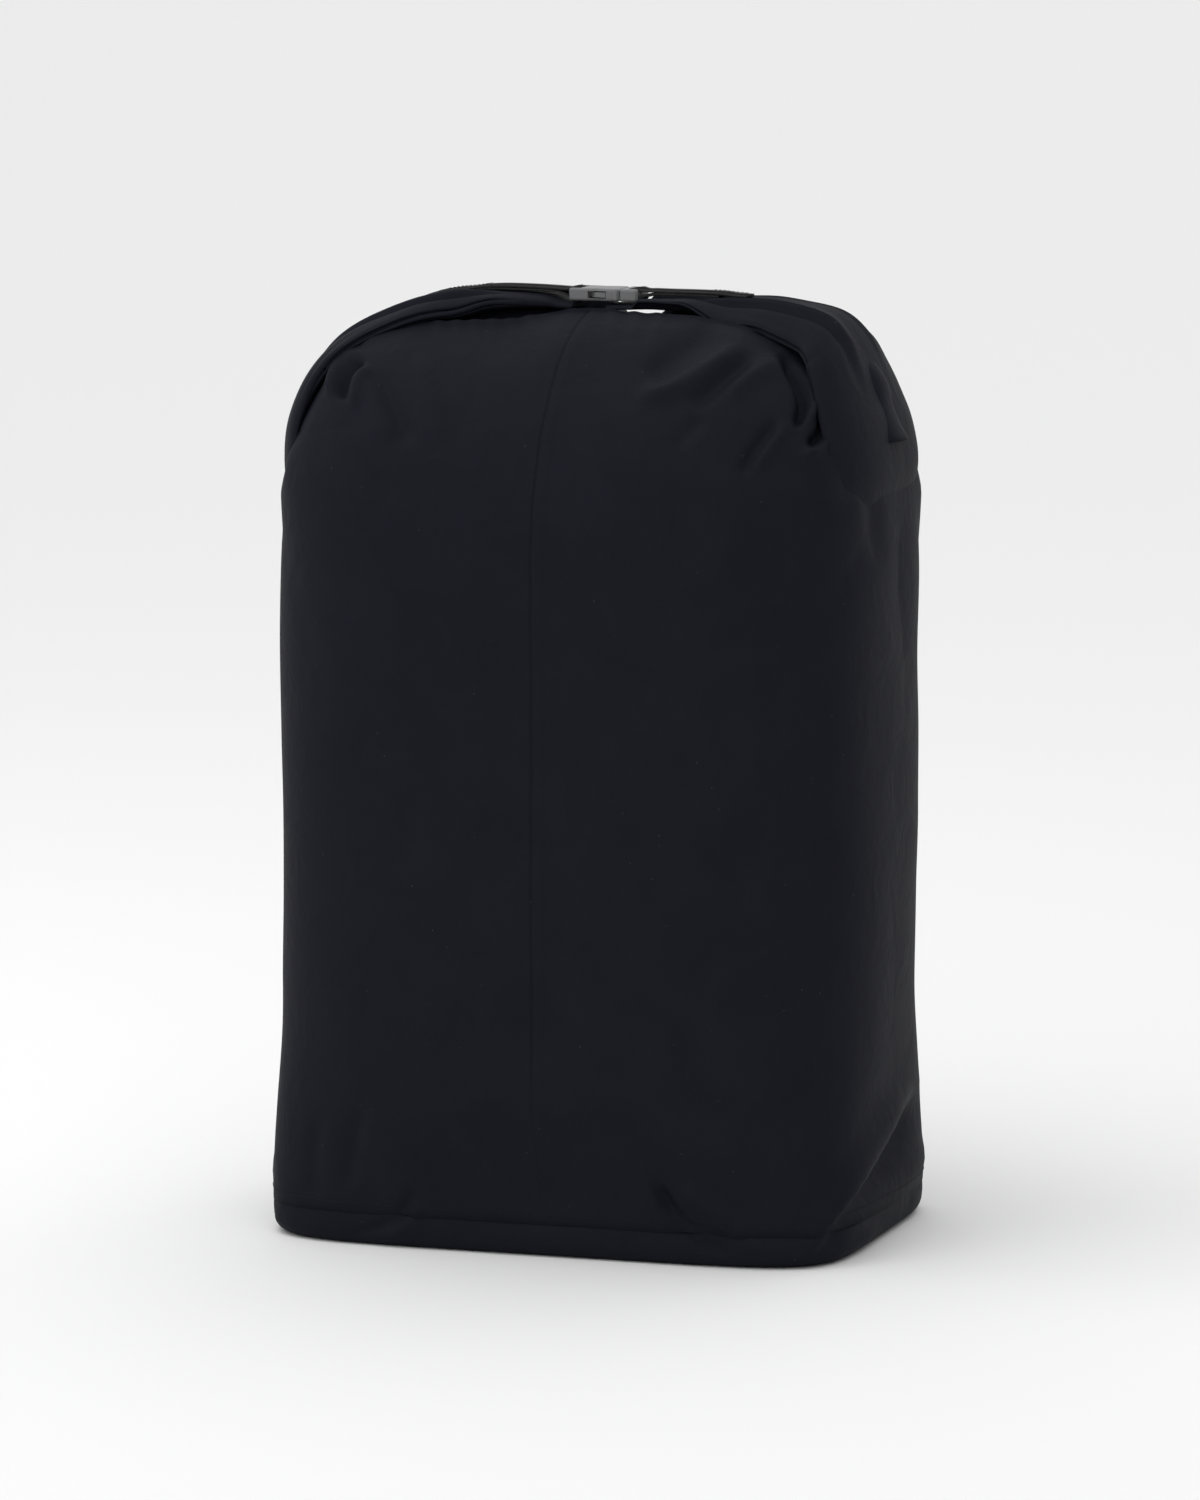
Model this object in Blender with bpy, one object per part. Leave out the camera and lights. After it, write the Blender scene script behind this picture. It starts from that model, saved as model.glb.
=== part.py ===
"""Roll-top compression sack, standing stuffed with its mouth rolled shut and its carry loop buckled.

Units are metres and +Z is up. The origin is the middle of the footprint on the floor. The front,
with the long seam, faces -Y, and the roll lies along X.
"""

import math

import bmesh
import bpy
from mathutils import Vector

# Driving dimensions of the sewn sack
FABRIC = 0.0012  # wall of coated cloth with its seam allowances
CLEARANCE = 0.0003  # between pieces that touch on the real sack
BASE_WIDTH = 0.322
BASE_DEPTH = 0.219
BASE_SQUARENESS = 6.0  # superellipse exponent of the footprint
BASE_WALL = 0.019  # height that the base panel turns up
BASE_FILLET = 0.006
BELLY_WIDTH = 0.326
BELLY_DEPTH = 0.234
BELLY_SQUARENESS = 3.2
BELLY_RISE = 3.6  # how soon above the base the wall has swollen to the belly
SHOULDER_HEIGHT = 0.350  # where the cloth starts to draw in to the mouth
SHOULDER_FULLNESS = 2.6  # superellipse exponent of the stuffed shoulders
CREST_RISE = 0.006  # how far the cloth stands up beside the roll, above its middle
CREST_GAP = 0.004  # between that crest and the roll's widest line
CREST_START = 0.50  # share of the roll's turn angle where the crest starts to dip
CREST_END = 0.85  # share where it has gone under the ends of the roll
MOUTH_REACH = 0.97  # share of the roll's turn angle that the mouth spans
BINDING_WIDTH = 0.009  # tape over the raw seam edges inside
BINDING_THICKNESS = 0.0008

# Driving dimensions of the rolled mouth and the carry loop
ROLL_SPAN = 0.152  # from the middle to where the roll turns back on itself
ROLL_SPRING = 0.420  # height of the roll's two ends
ROLL_RISE = 0.053  # how far the roll arches above its ends
ROLL_ARCH = 2.3  # superellipse exponent of that arch
ROLL_THICKNESS = 0.018
ROLL_END_THICKNESS = 0.011
ROLL_WIDTH = 0.034
ROLL_END_WIDTH = 0.140  # the ends spread out flat over the shoulders
ROLL_TURNS = 2.5
ROLL_PLY = 0.0005
ROLL_CORE = 0.8  # width of the roll's core against its outside
STIFFENER_THICKNESS = 0.0012
STIFFENER_REACH = 0.62  # share of the roll's turn angle that the strip covers
LOOP_GAP = 0.0015  # between the roll and the wings that lie on it
WING_TURNS = 1.5
WING_CORE = 0.6
WING_THICKNESS = 0.012
WING_ROOT_THICKNESS = 0.009  # pressed flatter where the wing turns back
WING_TIP_WIDTH = 0.032
WING_TIP_THICKNESS = 0.0075  # thinned to pass under the buckle
WING_TIP_TAPER = 0.055  # from the middle to where that thinning starts
LEFT_WING_TIP = 0.016  # from the middle to the end of each wing, under the buckle
RIGHT_WING_TIP = 0.022

# Driving dimensions of the webbing and the side-release buckle
WEBBING_WIDTH = 0.015
WEBBING_THICKNESS = 0.0013
WEBBING_LAYER_GAP = 0.0005
LEFT_TAB_END = 0.088  # from the middle to the sewn end of each webbing tab
RIGHT_TAB_END = 0.082
BUCKLE_MOUTH = 0.0135  # X of the socket's open end
SOCKET_LENGTH = 0.0275
SOCKET_HALF_WIDTH = 0.0104
SOCKET_THICKNESS = 0.0066
FINGER_SCALLOP = 0.0012  # how far the sides dip at the windows
CAVITY_LENGTH = 0.0185
CAVITY_HALF_WIDTH = 0.0076
CAVITY_HEIGHT = 0.0038
THROAT_LENGTH = 0.0070  # from the open end to the windows
WINDOW_LENGTH = 0.0100
STRAP_BAR = 0.0030
STRAP_SLOT = 0.0030
TONGUE_BASE_LENGTH = 0.0100
GUIDE_LENGTH = 0.0105
GUIDE_HALF_WIDTH = 0.0015
ARM_THICKNESS = 0.0019
ARM_ROOT = 0.0062  # from the buckle's centre line to an arm's hinge
ARM_HEAD_REACH = 0.0101
EDGE_ROUND = 0.0011

# Mesh density
RING_POINTS = 44
WALL_RINGS = 9
DOME_RINGS = 9
ROLL_STATIONS = 17
WING_STATIONS = 15
HAIRPIN_STATIONS = 6
SPIRAL_POINTS = 14  # in each turn
TAB_STATIONS = 6
BAR_STATIONS = 6

# Sizes worked out from the driving ones
FIRST_WRAP = 1.05 * math.pi  # the outer cloth lies at full size until it is over the top
STIFFENER_WIDTH = 0.58 * ROLL_CORE * ROLL_WIDTH
WEBBING_STACK = 2 * WEBBING_THICKNESS + WEBBING_LAYER_GAP
BODY_FOOT = BASE_FILLET + 2 * CLEARANCE
LAP_INSET = FABRIC + CLEARANCE
LAP_TOP = BASE_WALL + CLEARANCE
MOUTH_END_SINK = 1.3 * ROLL_END_THICKNESS  # the cloth falls away under the turned ends of the roll


def new_material(name, colour, roughness, metallic=0.0):
    """A plain Principled material."""
    material = bpy.data.materials.new(name)
    material.use_nodes = True
    shader = material.node_tree.nodes["Principled BSDF"]
    shader.inputs["Base Color"].default_value = (*colour, 1.0)
    shader.inputs["Roughness"].default_value = roughness
    shader.inputs["Metallic"].default_value = metallic
    return material


def add_object(name, mesh_builder, material, smooth=False):
    """Links one object whose mesh is filled by mesh_builder(bm)."""
    bm = bmesh.new()
    mesh_builder(bm)
    bmesh.ops.recalc_face_normals(bm, faces=bm.faces)
    mesh = bpy.data.meshes.new(name)
    bm.to_mesh(mesh)
    bm.free()
    obj = bpy.data.objects.new(name, mesh)
    if material is not None:
        mesh.materials.append(material)
    bpy.context.scene.collection.objects.link(obj)
    if smooth:
        mesh.shade_smooth()
        mesh.set_sharp_from_angle(angle=math.radians(50))
    return obj


def skin_rings(bm, rings, cap_ends=True, close_length=False):
    """Faces between successive rings of points, each ring a closed loop."""
    loops = [[bm.verts.new(point) for point in ring] for ring in rings]
    pairs = list(zip(loops, loops[1:]))
    if close_length:
        pairs.append((loops[-1], loops[0]))
    for lower, upper in pairs:
        for k in range(len(lower)):
            after = (k + 1) % len(lower)
            bm.faces.new((lower[k], lower[after], upper[after], upper[k]))
    if cap_ends and not close_length:
        bm.faces.new(reversed(loops[0]))
        bm.faces.new(loops[-1])


def signed_power(value, power):
    """The power of a number's size, with its sign kept."""
    return math.copysign(abs(value) ** power, value)


def superellipse(angle, half_x, half_y, exponent):
    """A point of a superellipse, from its parameter angle."""
    x = half_x * signed_power(math.cos(angle), 2 / exponent)
    y = half_y * signed_power(math.sin(angle), 2 / exponent)
    return x, y


def ring_angles():
    """Evenly spaced parameter angles, with a point at the middle of each side."""
    return [2 * math.pi * k / RING_POINTS for k in range(RING_POINTS)]


def mix(start, end, share):
    """Straight-line blend of two numbers or vectors."""
    return start + (end - start) * share


# The arch that the roll lies along

def arch_point(turn):
    """Point of the roll's centre line, from -1 at its left end to 1 at its right end."""
    angle = math.pi / 2 * (1 - turn)
    x, z = superellipse(angle, ROLL_SPAN, ROLL_RISE, ROLL_ARCH)
    return Vector((x, 0.0, ROLL_SPRING + z))


def arch_normal(turn):
    """Unit normal of that line, pointing up and out of the arch."""
    step = 1e-3
    before = arch_point(max(-1.0, turn - step))
    after = arch_point(min(1.0, turn + step))
    along = (after - before).normalized()
    return Vector((-along.z, 0.0, along.x))


def roll_half_thickness(turn):
    """Half the roll's thickness, which flattens towards its ends."""
    return mix(ROLL_THICKNESS, ROLL_END_THICKNESS, abs(turn) ** 2) / 2


def roll_half_width(turn):
    """Half the roll's width, which spreads towards its ends."""
    return mix(ROLL_WIDTH, ROLL_END_WIDTH, abs(turn) ** 8) / 2


def wing_half_thickness(turn):
    """Half a wing's thickness, which is pressed flatter towards its root and its tip."""
    full = mix(WING_THICKNESS, WING_ROOT_THICKNESS, abs(turn) ** 6)
    reach = min(1.0, abs(arch_point(turn).x) / WING_TIP_TAPER)
    return mix(WING_TIP_THICKNESS, full, reach ** 5) / 2


def loop_line(turn):
    """Point of the carry loop's centre line, which lies over the roll."""
    offset = roll_half_thickness(turn) + LOOP_GAP + wing_half_thickness(turn)
    return arch_point(turn) + arch_normal(turn) * offset


def turn_at(reach):
    """The turn at which the loop's centre line is that far out from the middle."""
    low, high = 0.0, 1.0
    for _ in range(40):
        middle = (low + high) / 2
        low, high = (middle, high) if loop_line(middle).x < reach else (low, middle)
    return low


# The sewn sack

def wall_ring(height):
    """Outline of the sack's wall at a height, as points."""
    share = (height - LAP_TOP) / (SHOULDER_HEIGHT - LAP_TOP)
    swell = math.sin(math.pi / 2 * min(1.0, max(0.0, share) * BELLY_RISE))
    half_x = mix(BASE_WIDTH / 2 - LAP_INSET, BELLY_WIDTH / 2, swell)
    half_y = mix(BASE_DEPTH / 2 - LAP_INSET, BELLY_DEPTH / 2, swell)
    exponent = mix(BASE_SQUARENESS, BELLY_SQUARENESS, swell)
    return [Vector((*superellipse(a, half_x, half_y, exponent), height)) for a in ring_angles()]


def crest_dip(turn):
    """How far the mouth's rim has gone from beside the roll to under its ends, from 0 to 1."""
    share = min(1.0, max(0.0, (abs(turn) - CREST_START) / (CREST_END - CREST_START)))
    return share * share * (3 - 2 * share)


def mouth_ring():
    """Rim of the mouth: it stands up beside the roll, and dips under the roll's turned ends."""
    points = []
    for angle in ring_angles():
        turn, side = superellipse(angle, MOUTH_REACH, 1.0, BELLY_SQUARENESS)
        under = roll_half_thickness(turn) + CLEARANCE + FABRIC / 2 + MOUTH_END_SINK
        drop = mix(-CREST_RISE, under, crest_dip(turn))
        point = arch_point(turn) - arch_normal(turn) * drop
        points.append(Vector((point.x, side * (roll_half_width(turn) + CREST_GAP), point.z)))
    return points


def sack_rings():
    """Rings of the sack's outer skin, from the base seam up over the shoulders to the mouth."""
    heights = [BODY_FOOT]
    heights += [mix(LAP_TOP, SHOULDER_HEIGHT, k / WALL_RINGS) for k in range(WALL_RINGS + 1)]
    rings = [wall_ring(height) for height in heights]
    shoulder, mouth = rings[-1], mouth_ring()
    for k in range(1, DOME_RINGS + 1):
        out, up = superellipse(math.pi / 2 * k / DOME_RINGS, 1.0, 1.0, SHOULDER_FULLNESS)
        ring = []
        for low, high in zip(shoulder, mouth):
            flat = mix(high, low, out)
            ring.append(Vector((flat.x, flat.y, mix(low.z, high.z, up))))
        rings.append(ring)
    return rings


def build_body_panel(material):
    """One wrapped panel of cloth: a tube, open at the base seam and at the mouth."""
    rings = sack_rings()
    obj = add_object("body_panel", lambda bm: skin_rings(bm, rings, cap_ends=False), material, True)
    wall = obj.modifiers.new("wall", "SOLIDIFY")
    wall.thickness = FABRIC
    wall.offset = -1.0
    return obj


def base_ring(inset, height):
    """Outline of the base panel, drawn in by an inset."""
    half_x, half_y = BASE_WIDTH / 2 - inset, BASE_DEPTH / 2 - inset
    return [Vector((*superellipse(a, half_x, half_y, BASE_SQUARENESS), height)) for a in ring_angles()]


def build_base_panel(material):
    """The base: a flat floor whose edge turns up round the foot of the sack."""
    corner_steps = 4
    rings = []
    for k in range(corner_steps + 1):
        quarter = math.pi / 2 * k / corner_steps
        inset = BASE_FILLET * (1 - math.sin(quarter))
        rings.append(base_ring(inset, BASE_FILLET * (1 - math.cos(quarter))))
    rings.append(base_ring(0.0, BASE_WALL))
    rings.append(base_ring(FABRIC, BASE_WALL))
    inner_fillet = BASE_FILLET - FABRIC
    for k in range(corner_steps + 1):
        quarter = math.pi / 2 * (1 - k / corner_steps)
        inset = FABRIC + inner_fillet * (1 - math.sin(quarter))
        rings.append(base_ring(inset, FABRIC + inner_fillet * (1 - math.cos(quarter))))
    return add_object("base_panel", lambda bm: skin_rings(bm, rings), material)


def build_base_seam_binding(material):
    """Tape round the inside of the base seam, over its raw edges."""
    outer = LAP_INSET + FABRIC + CLEARANCE
    inner = outer + BINDING_THICKNESS
    top = BODY_FOOT + BINDING_WIDTH
    rings = [base_ring(outer, BODY_FOOT), base_ring(outer, top), base_ring(inner, top), base_ring(inner, BODY_FOOT)]
    return add_object("base_seam_binding", lambda bm: skin_rings(bm, rings, close_length=True), material)


def build_front_seam_binding(material):
    """Tape down the inside of the long front seam, from above the base tape to below the mouth."""
    front = RING_POINTS * 3 // 4
    line = [ring[front] for ring in sack_rings()]
    foot = BODY_FOOT + BINDING_WIDTH + FABRIC
    line = [point for point in line if point.z > foot and point.y < -ROLL_WIDTH]
    outer = FABRIC + 2 * CLEARANCE
    rings = []
    for k, point in enumerate(line):
        along = line[min(k + 1, len(line) - 1)] - line[max(k - 1, 0)]
        inward = Vector((0.0, along.z, -along.y)).normalized()
        side = Vector((BINDING_WIDTH / 2, 0.0, 0.0))
        near, far = point + inward * outer, point + inward * (outer + BINDING_THICKNESS)
        rings.append([near - side, near + side, far + side, far - side])
    return add_object("front_seam_binding", lambda bm: skin_rings(bm, rings), material)


# The rolled mouth and its two ends

def spiral_section(half_thickness, half_width, turns, core):
    """Outline of a flattened spiral of cloth, as (up, across) pairs.

    The cloth comes up from below, passes the front, goes over the top and winds in.
    """
    core_thickness = STIFFENER_THICKNESS / 2 + ROLL_PLY + 2 * CLEARANCE
    count = round(turns * SPIRAL_POINTS)
    outer, inner = [], []
    for k in range(count + 1):
        angle = 2 * math.pi * turns * k / count
        share = max(0.0, angle - FIRST_WRAP) / (2 * math.pi * turns - FIRST_WRAP)
        up = mix(half_thickness, core_thickness, share)
        across = mix(half_width, half_width * core, share)
        outer.append((-up * math.cos(angle), -across * math.sin(angle)))
        inner.append((-(up - ROLL_PLY) * math.cos(angle), -(across - ROLL_PLY) * math.sin(angle)))
    return outer + inner[::-1]


def section_at(centre, normal, outline):
    """An outline of (up, across) pairs set on a path, with across along Y."""
    return [centre + normal * up + Vector((0.0, across, 0.0)) for up, across in outline]


def roll_turns():
    """Turns at which the roll and the strip inside it are sectioned."""
    end = 1 - CLEARANCE / ROLL_SPAN
    return [mix(-end, end, k / (ROLL_STATIONS - 1)) for k in range(ROLL_STATIONS)]


def build_rolled_mouth(material):
    """The mouth of the sack, rolled down on itself along the arch."""
    rings = []
    for turn in roll_turns():
        outline = spiral_section(roll_half_thickness(turn), roll_half_width(turn), ROLL_TURNS, ROLL_CORE)
        rings.append(section_at(arch_point(turn), arch_normal(turn), outline))
    return add_object("rolled_mouth", lambda bm: skin_rings(bm, rings), material)


def build_rim_stiffener(material):
    """Flat strip sewn in the rim, at the core of the roll."""
    half_t, half_w = STIFFENER_THICKNESS / 2, STIFFENER_WIDTH / 2
    outline = [(-half_t, -half_w), (half_t, -half_w), (half_t, half_w), (-half_t, half_w)]
    rings = []
    for turn in roll_turns():
        if abs(turn) <= STIFFENER_REACH:
            rings.append(section_at(arch_point(turn), arch_normal(turn), outline))
    return add_object("rim_stiffener", lambda bm: skin_rings(bm, rings), material)


def wing_path(side, tip):
    """Stations of one end of the roll, from the roll to the tip: (point, normal, half thickness)."""
    start, finish = arch_point(side), loop_line(side)
    middle, radius = (start + finish) / 2, (finish - start).length / 2
    gap_angle = CLEARANCE / radius
    stations = []
    for k in range(HAIRPIN_STATIONS):
        angle = mix(gap_angle, math.pi, k / HAIRPIN_STATIONS)
        outward = Vector((-side * math.cos(angle), 0.0, -math.sin(angle)))
        stations.append((middle + outward * radius, -outward, wing_half_thickness(side)))
    last = turn_at(tip)
    for k in range(WING_STATIONS):
        turn = side * mix(1.0, last, k / (WING_STATIONS - 1))
        stations.append((loop_line(turn), arch_normal(turn), wing_half_thickness(turn)))
    return stations


def build_wing(name, side, tip, material):
    """One end of the roll, turned back up over the shoulder towards the buckle."""
    rings = []
    stations = wing_path(side, tip)
    for k, (point, normal, half_thickness) in enumerate(stations):
        half_width = mix(ROLL_END_WIDTH, WING_TIP_WIDTH, k / (len(stations) - 1)) / 2
        outline = spiral_section(half_thickness, half_width, WING_TURNS, WING_CORE)
        rings.append(section_at(point, normal, outline))
    return add_object(name, lambda bm: skin_rings(bm, rings), material)


# The webbing and the buckle

def strap_height():
    """Height of the middle of the webbing, where both layers lie on the wings."""
    turn = turn_at(WING_TIP_TAPER)
    return loop_line(turn).z + WING_THICKNESS / 2 + CLEARANCE + WEBBING_STACK / 2


def bar_places():
    """X of the strap bar on the socket and on the tongue."""
    socket_bar = BUCKLE_MOUTH - SOCKET_LENGTH + STRAP_BAR / 2
    tongue_bar = BUCKLE_MOUTH + CLEARANCE + TONGUE_BASE_LENGTH - STRAP_BAR / 2
    return socket_bar, tongue_bar


def tab_line(side, bar_x, end):
    """Middle line of the doubled webbing, from the bar out over the wing, as (x, z) pairs."""
    height = strap_height()
    clear_of_bar = abs(bar_x) + 3 * STRAP_BAR
    line = [(side * clear_of_bar, height)]
    for k in range(TAB_STATIONS):
        turn = turn_at(mix(WING_TIP_TAPER, end, k / (TAB_STATIONS - 1)))
        lift = WING_THICKNESS / 2 + CLEARANCE + WEBBING_STACK / 2
        point = loop_line(turn) + arch_normal(turn) * lift
        line.append((side * point.x, min(height, point.z)))
    return line


def build_webbing_tab(name, side, bar_x, end, material):
    """A strip of webbing folded round a strap bar, with both layers lying on the wing."""
    height = strap_height()
    layer = (WEBBING_THICKNESS + WEBBING_LAYER_GAP) / 2
    turn_radius = STRAP_BAR / math.sqrt(2) + CLEARANCE + WEBBING_THICKNESS / 2
    run = tab_line(side, bar_x, end)
    path = [(x, z + layer) for x, z in reversed(run)]
    for k in range(BAR_STATIONS + 1):
        angle = math.pi / 2 - math.pi * k / BAR_STATIONS
        path.append((bar_x - side * turn_radius * math.cos(angle), height + turn_radius * math.sin(angle)))
    path += [(x, z - layer) for x, z in run]
    rings = []
    for k, (x, z) in enumerate(path):
        before, after = path[max(k - 1, 0)], path[min(k + 1, len(path) - 1)]
        along = Vector((after[0] - before[0], 0.0, after[1] - before[1])).normalized()
        normal = Vector((-along.z, 0.0, along.x)) * (WEBBING_THICKNESS / 2)
        across = Vector((0.0, WEBBING_WIDTH / 2, 0.0))
        centre = Vector((x, 0.0, z))
        rings.append([centre - normal - across, centre + normal - across, centre + normal + across, centre - normal + across])
    return add_object(name, lambda bm: skin_rings(bm, rings), material)


def prism(bm, outline, low, high):
    """A straight-sided solid between two heights, on an outline of (x, y) pairs."""
    skin_rings(bm, [[Vector((x, y, z)) for x, y in outline] for z in (low, high)])


def block(bm, corner, opposite):
    """A box between two corners."""
    (x0, y0, z0), (x1, y1, z1) = corner, opposite
    prism(bm, [(x0, y0), (x1, y0), (x1, y1), (x0, y1)], z0, z1)


def cutter(name, mesh_builder):
    """A hidden solid that a Boolean uses."""
    obj = add_object(name, mesh_builder, None)
    obj.hide_render = True
    obj.display_type = "WIRE"
    return obj


def combine(obj, other, operation):
    """Adds a Boolean with another solid."""
    modifier = obj.modifiers.new(other.name, "BOOLEAN")
    modifier.operation = operation
    modifier.object = other
    modifier.solver = "EXACT"


def round_edges(obj, width):
    """Rounds the moulded edges of a buckle piece."""
    modifier = obj.modifiers.new("edge_round", "BEVEL")
    modifier.width = width
    modifier.segments = 2
    modifier.limit_method = "ANGLE"
    modifier.angle_limit = math.radians(50)


def into(depth):
    """X at a depth inside the socket, measured from its open end."""
    return BUCKLE_MOUTH - depth


def socket_outline():
    """Plan of the socket: a slim bar whose sides dip where the fingers squeeze."""
    window_middle = THROAT_LENGTH + WINDOW_LENGTH / 2
    corner = EDGE_ROUND
    depths = [corner + (SOCKET_LENGTH - 2 * corner) * k / 12 for k in range(13)]

    def half_width(depth):
        dip = FINGER_SCALLOP * math.exp(-(((depth - window_middle) / (WINDOW_LENGTH / 3)) ** 2))
        return SOCKET_HALF_WIDTH - dip

    side = [(into(depth), half_width(depth)) for depth in depths]
    ends = SOCKET_HALF_WIDTH - corner
    half = [(into(0.0), ends), *side, (into(SOCKET_LENGTH), ends)]
    return half + [(x, -y) for x, y in reversed(half)]


def build_buckle_socket(material):
    """The receiving half: a hollow housing with a window in each side and a strap bar."""
    height = strap_height()
    half = SOCKET_THICKNESS / 2
    obj = add_object("buckle_socket", lambda bm: prism(bm, socket_outline(), height - half, height + half), material)
    round_edges(obj, EDGE_ROUND)
    cavity_top = CAVITY_HEIGHT / 2
    beyond = 2 * EDGE_ROUND

    def cavity(bm):
        block(bm, (into(CAVITY_LENGTH), -CAVITY_HALF_WIDTH, height - cavity_top),
              (into(-beyond), CAVITY_HALF_WIDTH, height + cavity_top))

    def windows(bm):
        block(bm, (into(THROAT_LENGTH + WINDOW_LENGTH), -SOCKET_HALF_WIDTH - beyond, height - cavity_top),
              (into(THROAT_LENGTH), SOCKET_HALF_WIDTH + beyond, height + cavity_top))

    slot_near = BUCKLE_MOUTH - SOCKET_LENGTH + STRAP_BAR
    slot_half = WEBBING_WIDTH / 2 + CLEARANCE

    def strap_slot(bm):
        block(bm, (slot_near, -slot_half, height - 2 * half), (slot_near + STRAP_SLOT, slot_half, height + 2 * half))

    def bar_relief(low, high):
        return lambda bm: block(bm, (into(SOCKET_LENGTH) - beyond, -slot_half, low), (slot_near + CLEARANCE, slot_half, high))

    bar_half = STRAP_BAR / 2
    combine(obj, cutter("cavity_cut", cavity), "DIFFERENCE")
    combine(obj, cutter("window_cut", windows), "DIFFERENCE")
    combine(obj, cutter("socket_slot_cut", strap_slot), "DIFFERENCE")
    combine(obj, cutter("socket_bar_top_cut", bar_relief(height + bar_half, height + 2 * half)), "DIFFERENCE")
    combine(obj, cutter("socket_bar_foot_cut", bar_relief(height - 2 * half, height - bar_half)), "DIFFERENCE")
    return obj


def build_buckle_tongue(material):
    """The plugging half: a strap bar block with a guide that enters the socket."""
    height = strap_height()
    half = SOCKET_THICKNESS / 2
    near = BUCKLE_MOUTH + CLEARANCE
    far = near + TONGUE_BASE_LENGTH
    corner = EDGE_ROUND
    wide, narrow = SOCKET_HALF_WIDTH, SOCKET_HALF_WIDTH - corner
    outline = [(near, -narrow), (near + corner, -wide), (far - corner, -wide), (far, -narrow)]
    outline += [(x, -y) for x, y in reversed(outline)]
    obj = add_object("buckle_tongue", lambda bm: prism(bm, outline, height - half, height + half), material)
    round_edges(obj, EDGE_ROUND)
    guide_top = CAVITY_HEIGHT / 2 - 2 * CLEARANCE
    overlap = STRAP_BAR / 2

    def guide(bm):
        block(bm, (into(GUIDE_LENGTH), -GUIDE_HALF_WIDTH, height - guide_top), (near + overlap, GUIDE_HALF_WIDTH, height + guide_top))

    slot_far = far - STRAP_BAR
    slot_half = WEBBING_WIDTH / 2 + CLEARANCE

    def strap_slot(bm):
        block(bm, (slot_far - STRAP_SLOT, -slot_half, height - 2 * half), (slot_far, slot_half, height + 2 * half))

    def bar_relief(low, high):
        return lambda bm: block(bm, (slot_far - CLEARANCE, -slot_half, low), (far + corner, slot_half, high))

    bar_half = STRAP_BAR / 2
    combine(obj, cutter("guide_join", guide), "UNION")
    combine(obj, cutter("tongue_slot_cut", strap_slot), "DIFFERENCE")
    combine(obj, cutter("tongue_bar_top_cut", bar_relief(height + bar_half, height + 2 * half)), "DIFFERENCE")
    combine(obj, cutter("tongue_bar_foot_cut", bar_relief(height - 2 * half, height - bar_half)), "DIFFERENCE")
    return obj


def build_latch_arm(name, side, material):
    """One springy arm of the tongue, with a head that shows in the socket's window.

    The object's origin is on the arm's bending axis, at its root.
    """
    height = strap_height()
    half = CAVITY_HEIGHT / 2 - 2 * CLEARANCE
    root = Vector((BUCKLE_MOUTH, side * ARM_ROOT, height))
    inner = -ARM_THICKNESS / 2
    outer = ARM_THICKNESS / 2
    catch = THROAT_LENGTH + CLEARANCE
    head = ARM_HEAD_REACH - ARM_ROOT
    tip = THROAT_LENGTH + WINDOW_LENGTH - 4 * CLEARANCE
    plan = [
        (0.0, inner), (0.0, outer), (catch, outer), (catch, head),
        (mix(catch, tip, 0.35), head), (mix(catch, tip, 0.75), mix(outer, head, 0.6)),
        (tip, outer), (tip, inner), (catch, inner),
    ]
    outline = [(-depth, side * out) for depth, out in plan]
    obj = add_object(name, lambda bm: prism(bm, outline, -half, half), material)
    obj.location = root
    return obj


def main():
    """Clears the scene and builds every piece."""
    for old in list(bpy.data.objects):
        bpy.data.objects.remove(old)
    nylon = new_material("sack_nylon", (0.012, 0.012, 0.016), 0.55)
    binding = new_material("binding_tape", (0.010, 0.010, 0.011), 0.8)
    webbing = new_material("webbing", (0.009, 0.009, 0.010), 0.75)
    stiffener = new_material("stiffener_plastic", (0.6, 0.6, 0.58), 0.5)
    acetal = new_material("buckle_plastic", (0.035, 0.036, 0.038), 0.42)
    build_body_panel(nylon)
    build_base_panel(nylon)
    build_base_seam_binding(binding)
    build_front_seam_binding(binding)
    build_rolled_mouth(nylon)
    build_rim_stiffener(stiffener)
    build_wing("left_wing", -1, LEFT_WING_TIP, nylon)
    build_wing("right_wing", 1, RIGHT_WING_TIP, nylon)
    socket_bar, tongue_bar = bar_places()
    build_webbing_tab("left_webbing_tab", -1, socket_bar, LEFT_TAB_END, webbing)
    build_webbing_tab("right_webbing_tab", 1, tongue_bar, RIGHT_TAB_END, webbing)
    build_buckle_socket(acetal)
    build_buckle_tongue(acetal)
    build_latch_arm("front_latch_arm", -1, acetal)
    build_latch_arm("rear_latch_arm", 1, acetal)


main()
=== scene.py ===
"""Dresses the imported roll-top sack: cloth body, base, folded-back wings, webbing, buckle and sewing.

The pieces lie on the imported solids, in metres. Large folds are laid out on the picture plane of the
studio camera and pushed into the cloth along its own normals, so they are real relief from any side.
"""

from __future__ import annotations

import logging
import math
from dataclasses import dataclass, field
from enum import Enum

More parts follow.
